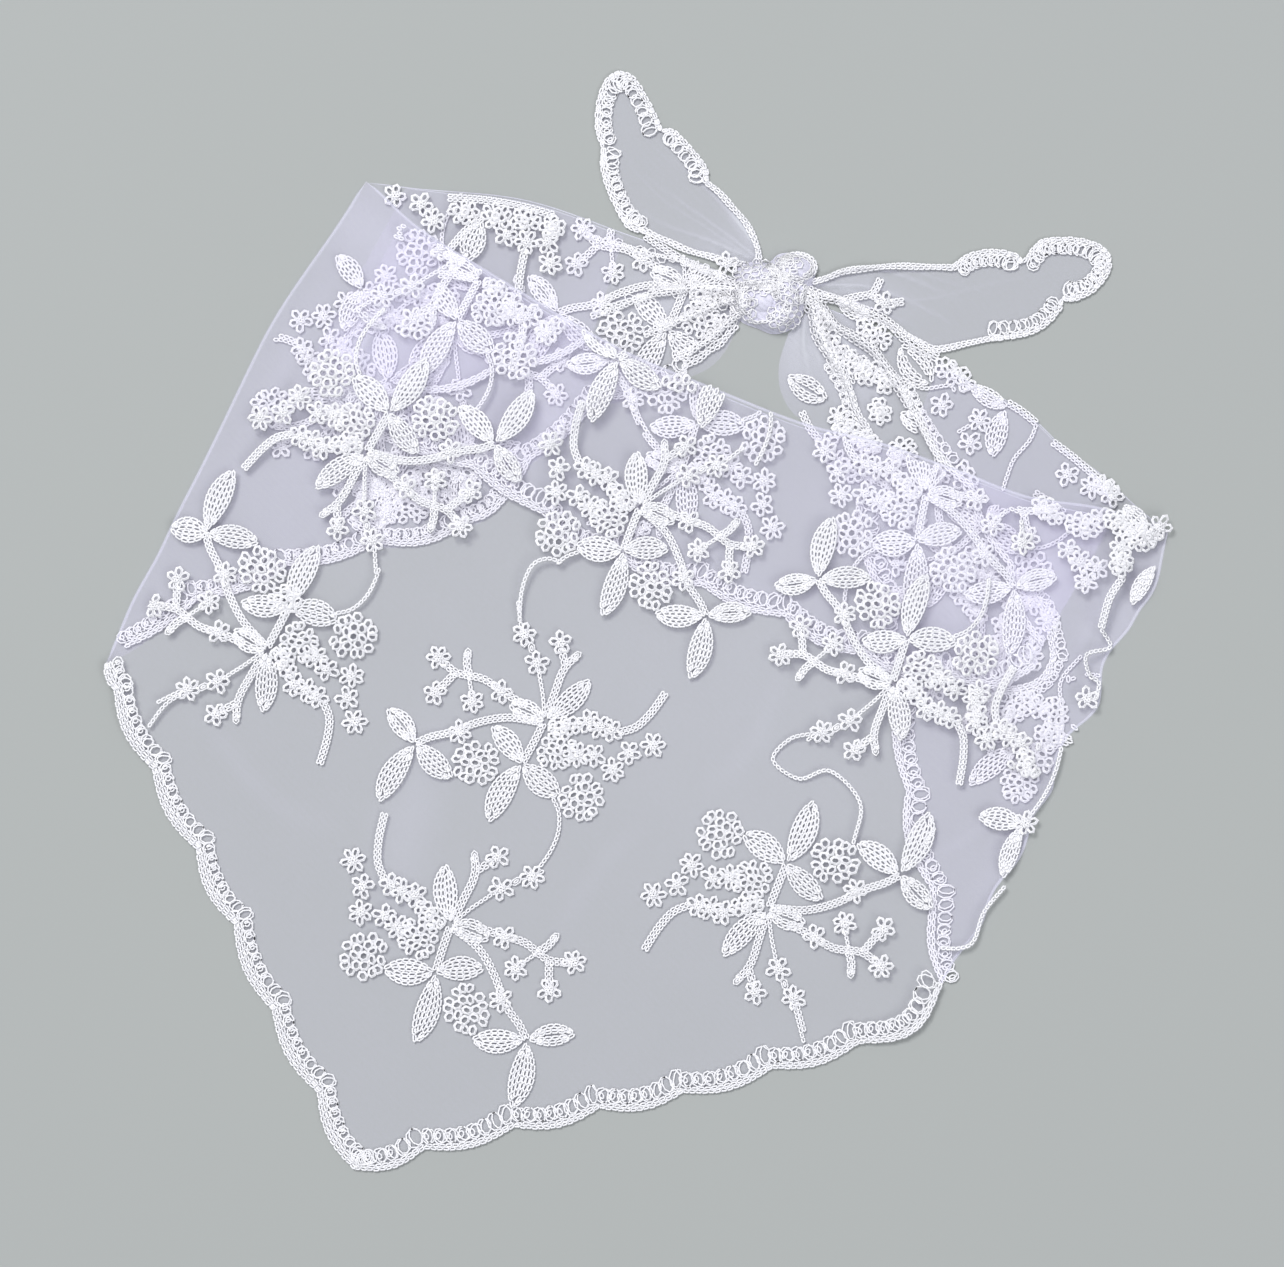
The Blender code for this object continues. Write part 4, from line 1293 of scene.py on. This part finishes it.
net_knot = knot_sheet()
knot_lace = thread_piece("lace_knot", [(knot_loops(), SEGMENTS)], knot_rest)

# ------------------------ the lace on every stretch

leaf_pattern, other_pattern = spray_loops()


def surface_of(name):
    """The stretch's height as a function of points alone."""
    return lambda points: height_at(name, points)


# From this station to the knot the back stretches' cut edges are turned under
TURNED_UNDER = 7
TURNED_EDGE = ((15, 83.4), (23, 88.4), (29.4, 93.4), (33.4, 98.6))

# Lace that the repeat doesn't give, drawn together near the knot and at the folds
Extra = namedtuple("Extra", "leaves flowers patches two_rows one_rows", defaults=((),) * 5)
EXTRAS = {
    "tail_right": Extra(
        flowers=((82.3, 105),),
        two_rows=(
            ((68.8, 106.3), (73.4, 107.3), (78, 108.2), (80, 111), (81, 113.2)),
            ((78, 108), (82.3, 105.2), (88.6, 105.6)),
        ),
    ),
    "back_left_turn_in": Extra(
        leaves=(
            Leaf(-51, 131.7, -55.3, 119.1, 8.4), Leaf(-90.6, 110.2, -98.5, 120.5, 7),
            Leaf(-90.6, 108.9, -96.2, 96, 7), Leaf(-89.9, 109.2, -82.7, 102, 7),
        ),
        flowers=(
            (-42.7, 127.4), (-36, 125), (-29.2, 125), (-28.2, 118.1), (-70.8, 137.6),
            (-66.8, 132.3),
        ),
        patches=(
            (-56.6, 134.8, 4.8, 3.2, -8), (-46, 133.6, 4.6, 3.6, -8), (-36.4, 132.4, 4.4, 3.4, -8),
            (-27.4, 130, 3.6, 3, -20),
        ),
        two_rows=(
            ((-62, 139.8), (-50, 139), (-38, 137), (-27, 134)),
            ((-36.5, 122.8), (-38, 115), (-38.8, 107.9)),
            ((-63.3, 120.4), (-56.6, 128.4), (-50.8, 133)),
        ),
    ),
    "back_left": Extra(
        leaves=(Leaf(-77.1, 47.2, -85, 30.7, 8),),
        flowers=((-79.6, 140.6),),
        patches=((-120.3, 70.6, 6.6, 6.2, 20),),
        two_rows=(((3, 127.4), (10, 122.8), (18, 118), (26, 114.6), (33, 111.8)),),
    ),
    "back_right": Extra(
        leaves=(
            Leaf(50.6, 81, 62.9, 73.6, 8.4, True), Leaf(88, 91, 97.6, 79, 11, True),
            Leaf(66.8, 106.4, 77, 100.4, 6), Leaf(110.6, 78, 122.6, 71, 6),
            Leaf(121.9, 69.4, 118, 54.6, 7.2), Leaf(126.2, -42, 110.4, -54, 7.4),
            Leaf(126, -40.2, 117.6, -33.6, 5.5),
        ),
        flowers=(
            (101.1, 71.3), (113.7, 66.3), (142.7, 48.4), (150.6, 44.4), (157.4, 41.4), (67.1, 67.3),
            (63.4, 58.6), (66.6, 52.6), (110.4, 58.9),
        ),
        patches=(
            (62.6, 97.6, 2.6, 4.4, 20), (66.8, 89.6, 2.6, 4.6, 30), (78.7, 95, 6.4, 3.4, -35),
            (105.4, 81.6, 7.6, 3.2, -36), (77, 82, 4.2, 3.6, 40), (82, 79, 2.6, 3.6, 30),
            (80.6, 69.4, 3, 4, 20), (126.8, -53.4, 5.8, 6.4, 0), (72.6, 85.6, 3, 4, 40),
            (155.4, 44.4, 3.8, 2.2, -40), (131, -27.6, 5, 3.6, -20), (138.6, -30.6, 4, 5.4, 10),
            (124, -30.4, 4.4, 3, 0), (136.6, -37.2, 4.6, 2.6, 0), (69.4, 63.2, 4, 3, -30),
            (76.2, 58.6, 5, 3.4, -20), (88.4, 56, 4.4, 4, 0), (72, 50.6, 4.6, 4, 30),
        ),
        two_rows=(
            ((54.9, 69.3), (57.6, 63.7), (61.9, 58.4)),
            ((131.8, 42.4), (136.6, 39.4), (141.7, 35.6)),
            ((122.9, 72.3), (127.6, 69.4), (132.5, 65.4)),
            ((127, -41), (134, -41.6), (140.8, -40.8)),
            ((137.8, 59.3), (144.6, 54.2), (151.1, 48.7), (156, 44.6), (159.6, 42)),
        ),
        one_rows=(
            ((85, 81.2), (90.6, 78.9), (95.5, 76.9), (103.8, 77.9), (105.4, 75.9)),
            ((106.4, 62.4), (110.4, 64.7)),
            ((132.5, 65), (130.2, 59.7), (125.2, 53.8), (122.9, 48.2), (121.3, 43.2)),
            ((147.4, -11.4), (140.6, -19.8), (141, -29.7), (140.8, -39.6)),
        ),
    ),
    "front_turn_in": Extra(
        flowers=((142.7, 23.4), (146.7, 19.5), (152.3, 17.5), (148.3, 12.9), (153.3, 34)),
        patches=((136, 36.4, 5.4, 3, -35), (147.6, 31.4, 6, 3.4, -12)),
    ),
    "front_panel": Extra(
        leaves=(
            Leaf(-141.4, 28.8, -153.2, 30.4, 8.6), Leaf(160.9, 37.9, 168.1, 31.4, 6.4),
            Leaf(171.2, 18, 163.8, 5.6, 5.4), Leaf(127.2, -67, 113.4, -64.6, 7.6),
            Leaf(127.2, -68, 121.2, -84.6, 6),
        ),
        flowers=(
            (163.2, 29.2), (169.8, 28.6), (159.9, 24.4), (127.2, 25.7), (173, 31), (128.6, -66.6),
            (148.8, -25.4),
        ),
        patches=(
            (166.4, 27.6, 5.6, 4.2, 0), (158.6, 32.6, 4.4, 3, -30), (159.6, 19.4, 3.4, 4.4, 0),
            (-116, 7, 5.4, 4.6, 20),
        ),
        two_rows=(((160.5, 14.6), (155.9, 7.4), (153.3, -2.3)),),
        one_rows=(
            ((126.9, 33.3), (127.2, 29)),
            (
                (153.3, -2.6), (156.6, -8.6), (148.6, -11), (149.6, -17.6), (152.8, -20.4),
                (151.6, -26),
            ),
            ((140.6, -41.6), (138.4, -50), (134.6, -58), (129.6, -65)),
            ((-38.4, -0.3), (-37.5, 10.2), (-34.2, 18.2), (-29.2, 20.6), (-24.4, 19.4)),
            ((-160.9, -35), (-155.3, -27.7), (-148.7, -23.4)),
            (
                (71.8, -73.6), (74.1, -60.1), (64.2, -49.5), (54, -52.1), (45.4, -45.9), (51, -39),
                (59.2, -37),
            ),
            ((52, -125.4), (55.6, -139.3)),
            ((121.9, -87.5), (115, -96), (111.7, -105.3), (107.4, -107.9), (100.8, -107.9)),
        ),
    ),
}
PLEAT_LADDER = ((65.6, 86.8), (70.8, 76.9), (73.4, 69), (77.4, 63), (80, 56.4))
PLEAT_LADDER_RIGHT = ((87.3, 77.2), (91.2, 69.6), (96.5, 60.4), (102.5, 50.5))
INNER_LADDER = (
    (128, 6.4), (133, 6), (135.8, 1), (137, -6), (137.2, -12.6), (134, -19), (127, -22),
    (118, -21.4),
)


def extra_loops(name):
    """The leaves and the other loops of the lace that the repeat doesn't give to this stretch."""
    extra = EXTRAS.get(name, Extra())
    leaves = [leaf(blade) for blade in extra.leaves]
    rest = [flower(x, y, 0.9 * index, 5 + index % 2) for index, (x, y) in enumerate(extra.flowers)]
    rest += [patch(x, y, long, wide, np.radians(turn)) for x, y, long, wide, turn in extra.patches]
    rest += [two_rows(stem) for stem in extra.two_rows]
    rest += [chain(smooth_line(stem)) for stem in extra.one_rows]
    if name == "back_left":
        rest.append(rope_loops(name))
        rest.append(wandering_rows(TURNED_EDGE, 2, 1.1, 0.3, 1.0, PLEAT_STITCH))
    if name == "back_right":
        rest.append(wandering_rows(PLEAT_LEFT[:6], 4, 1.15, 0.3, 1.0, PLEAT_STITCH))
        rest.append(wandering_rows(PLEAT_RIGHT[:8], 3, 1.2, 0.25, 2.0, PLEAT_STITCH))
        rest.append(wandering_rows(BAND_TOP_RIM, 3, 1.15, 0.25, 3.0, PLEAT_STITCH))
        for path, side in ((PLEAT_LADDER, -1.0), (PLEAT_LADDER_RIGHT, 1.0), (INNER_LADDER, 1.0)):
            rest.extend(border_loops([smooth_line(path)], side, rise=0.8, size=0.75, bulks=(1.0,)))
    return leaves, rest


lace = {}
for name in outlines:
    own = SPRAYS.get(name, ())
    more_leaves, more_others = extra_loops(name)
    kept_leaves = [kept_on(name, moved(leaf_pattern, spray)) for spray in own] + more_leaves
    kept_others = [kept_on(name, moved(other_pattern, spray)) for spray in own] + more_others
    pieces = []
    for label, parts in (("leaves_", kept_leaves), ("lace_", kept_others)):
        if sum(len(part) for part in parts) == 0:
            continue
        pattern = np.vstack(parts)
        pieces.append(thread_piece(label + name, [(pattern, SEGMENTS)], surface_of(name)))
    lace[name] = pieces


def border_piece(name, runs, side, plain_runs=(), **sizes):
    """The border of one stretch: its rope and rings, and two rows of chain along each plain rim.
    A strip's border lies folded away but for its rope.
    """
    rows, rings = border_loops(runs, side, **sizes)
    if plain_runs:
        rims = [wandering_rows(beside(run, 0.7), 2, 0.9, 0.15, 0.0) for run in plain_runs]
        rows = np.vstack([rows, *rims])
    else:
        for pattern in (rows, rings):
            pattern[:, :2] = pushed_out(pattern[:, :2])
    if name in STRIPS:
        rings = rings[:0]
    patterns = [(rows, SEGMENTS), (rings, RING_SEGMENTS)]
    return thread_piece("border_" + name, patterns, surface_of(name))


borders = {}
for stretch in STRETCHES:
    name = stretch.name
    side = outward_sign(*edges[name][:2])
    runs = [smooth_line(run) for run in stretch.feet]
    bulks, size = (), 1.0
    if name == "front_panel":
        bulks = (1.02,) * SIDE_SCALLOPS + (0.7,) * (len(runs) - SIDE_SCALLOPS)
    if name == "back_left":
        runs, size = [smooth_line(BACK_LEFT_FOOT[:TURNED_UNDER])[2:]], 0.8
    if name == "back_right":
        runs = [smooth_line(BACK_RIGHT_FOOT[:TURNED_UNDER])]
    borders[name] = border_piece(name, runs, side, bulks=bulks, size=size)
for name, runs in TAIL_RUNS.items():
    start, *scallops, finish = (smooth_line(run) for run in runs)
    sizes = {"rise": 0.0, "size": 0.75, "bulks": (0.55,) * len(scallops), "opened": (3, 4)}
    # each plain rim overlaps the scallop that it meets
    rims = (np.vstack([start[:-1], scallops[0][:4]]), np.vstack([scallops[-1][-4:-1], finish]))
    borders[name] = border_piece(name, scallops, -1.0, rims, **sizes)

# ------------------------ the CAD parts that the looks replace, hidden

for name, net in nets.items():
    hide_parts(name)
    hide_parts(name + "_border")
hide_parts("knot")
for name, sheet in SHEETS.items():
    flat, pieces = (sheet.width, sheet.length), [*lace[name], borders[name]]

# ------------------------ floor, light and camera

FLOOR_REACH = 4.0


def plain_floor():
    """A wide pale floor with a very faint mottle."""
    shader = Shader("pale_floor")
    place = shader.add("TexCoord", output=OBJECT_PLACE)
    mottle = shader.add("TexNoise", Vector=place, Scale=3.0, Detail=4.0)
    colour = shader.mixed(mottle, (0.36, 0.3765, 0.3725, 1.0), (0.3755, 0.392, 0.388, 1.0))
    shader.surface(Base_Color=colour, Roughness=0.9)
    mesh = bpy.data.meshes.new("floor")
    corners = ((-1, -1), (1, -1), (1, 1), (-1, 1))
    mesh.from_pydata([(FLOOR_REACH * x, FLOOR_REACH * y, 0.0) for x, y in corners], [], [range(4)])
    mesh.materials.append(shader.material)
    place_in_scene("floor", mesh)


def area_light(name, place, size, watts, colour):
    """A square soft light that faces the scarf's middle."""
    light = bpy.data.lights.new(name, "AREA")
    light.size = size
    light.energy = watts
    light.color = colour
    lamp = place_in_scene(name, light)
    lamp.location = place
    lamp.rotation_mode = "QUATERNION"
    lamp.rotation_quaternion = Vector(place).to_track_quat("Z", "Y")


plain_floor()
area_light("key", (-1.0, 1.6, 3.2), 1.3, 101.0, (1.0, 0.995, 0.985))
area_light("fill", (1.6, -1.2, 3.2), 2.4, 45.0, (0.98, 0.99, 1.0))

world = bpy.data.worlds.new("studio")
world.use_nodes = True
background = world.node_tree.nodes["Background"]
background.inputs["Color"].default_value = (0.93, 0.96, 1.0, 1.0)
background.inputs["Strength"].default_value = 0.43

LENS = 100.0
SENSOR = 36.0
VIEW_WIDTH = 0.4237
VIEW_HEIGHT = 0.003  # above the floor, where the view is as wide as that
VIEW_MIDDLE = (2.1, -4.1)  # in mm, as the cloth's stations are
camera_data = bpy.data.cameras.new("camera")
camera_data.lens = LENS
camera_data.sensor_width = SENSOR
camera_data.clip_end = 20.0
camera = place_in_scene("camera", camera_data)
camera.location = (*MM * (VIEW_MIDDLE + SHIFT), VIEW_WIDTH * LENS / SENSOR + VIEW_HEIGHT)
scene = bpy.context.scene
scene.world = world
scene.camera = camera
scene.view_settings.view_transform = "Standard"
scene.cycles.transparent_max_bounces = 24
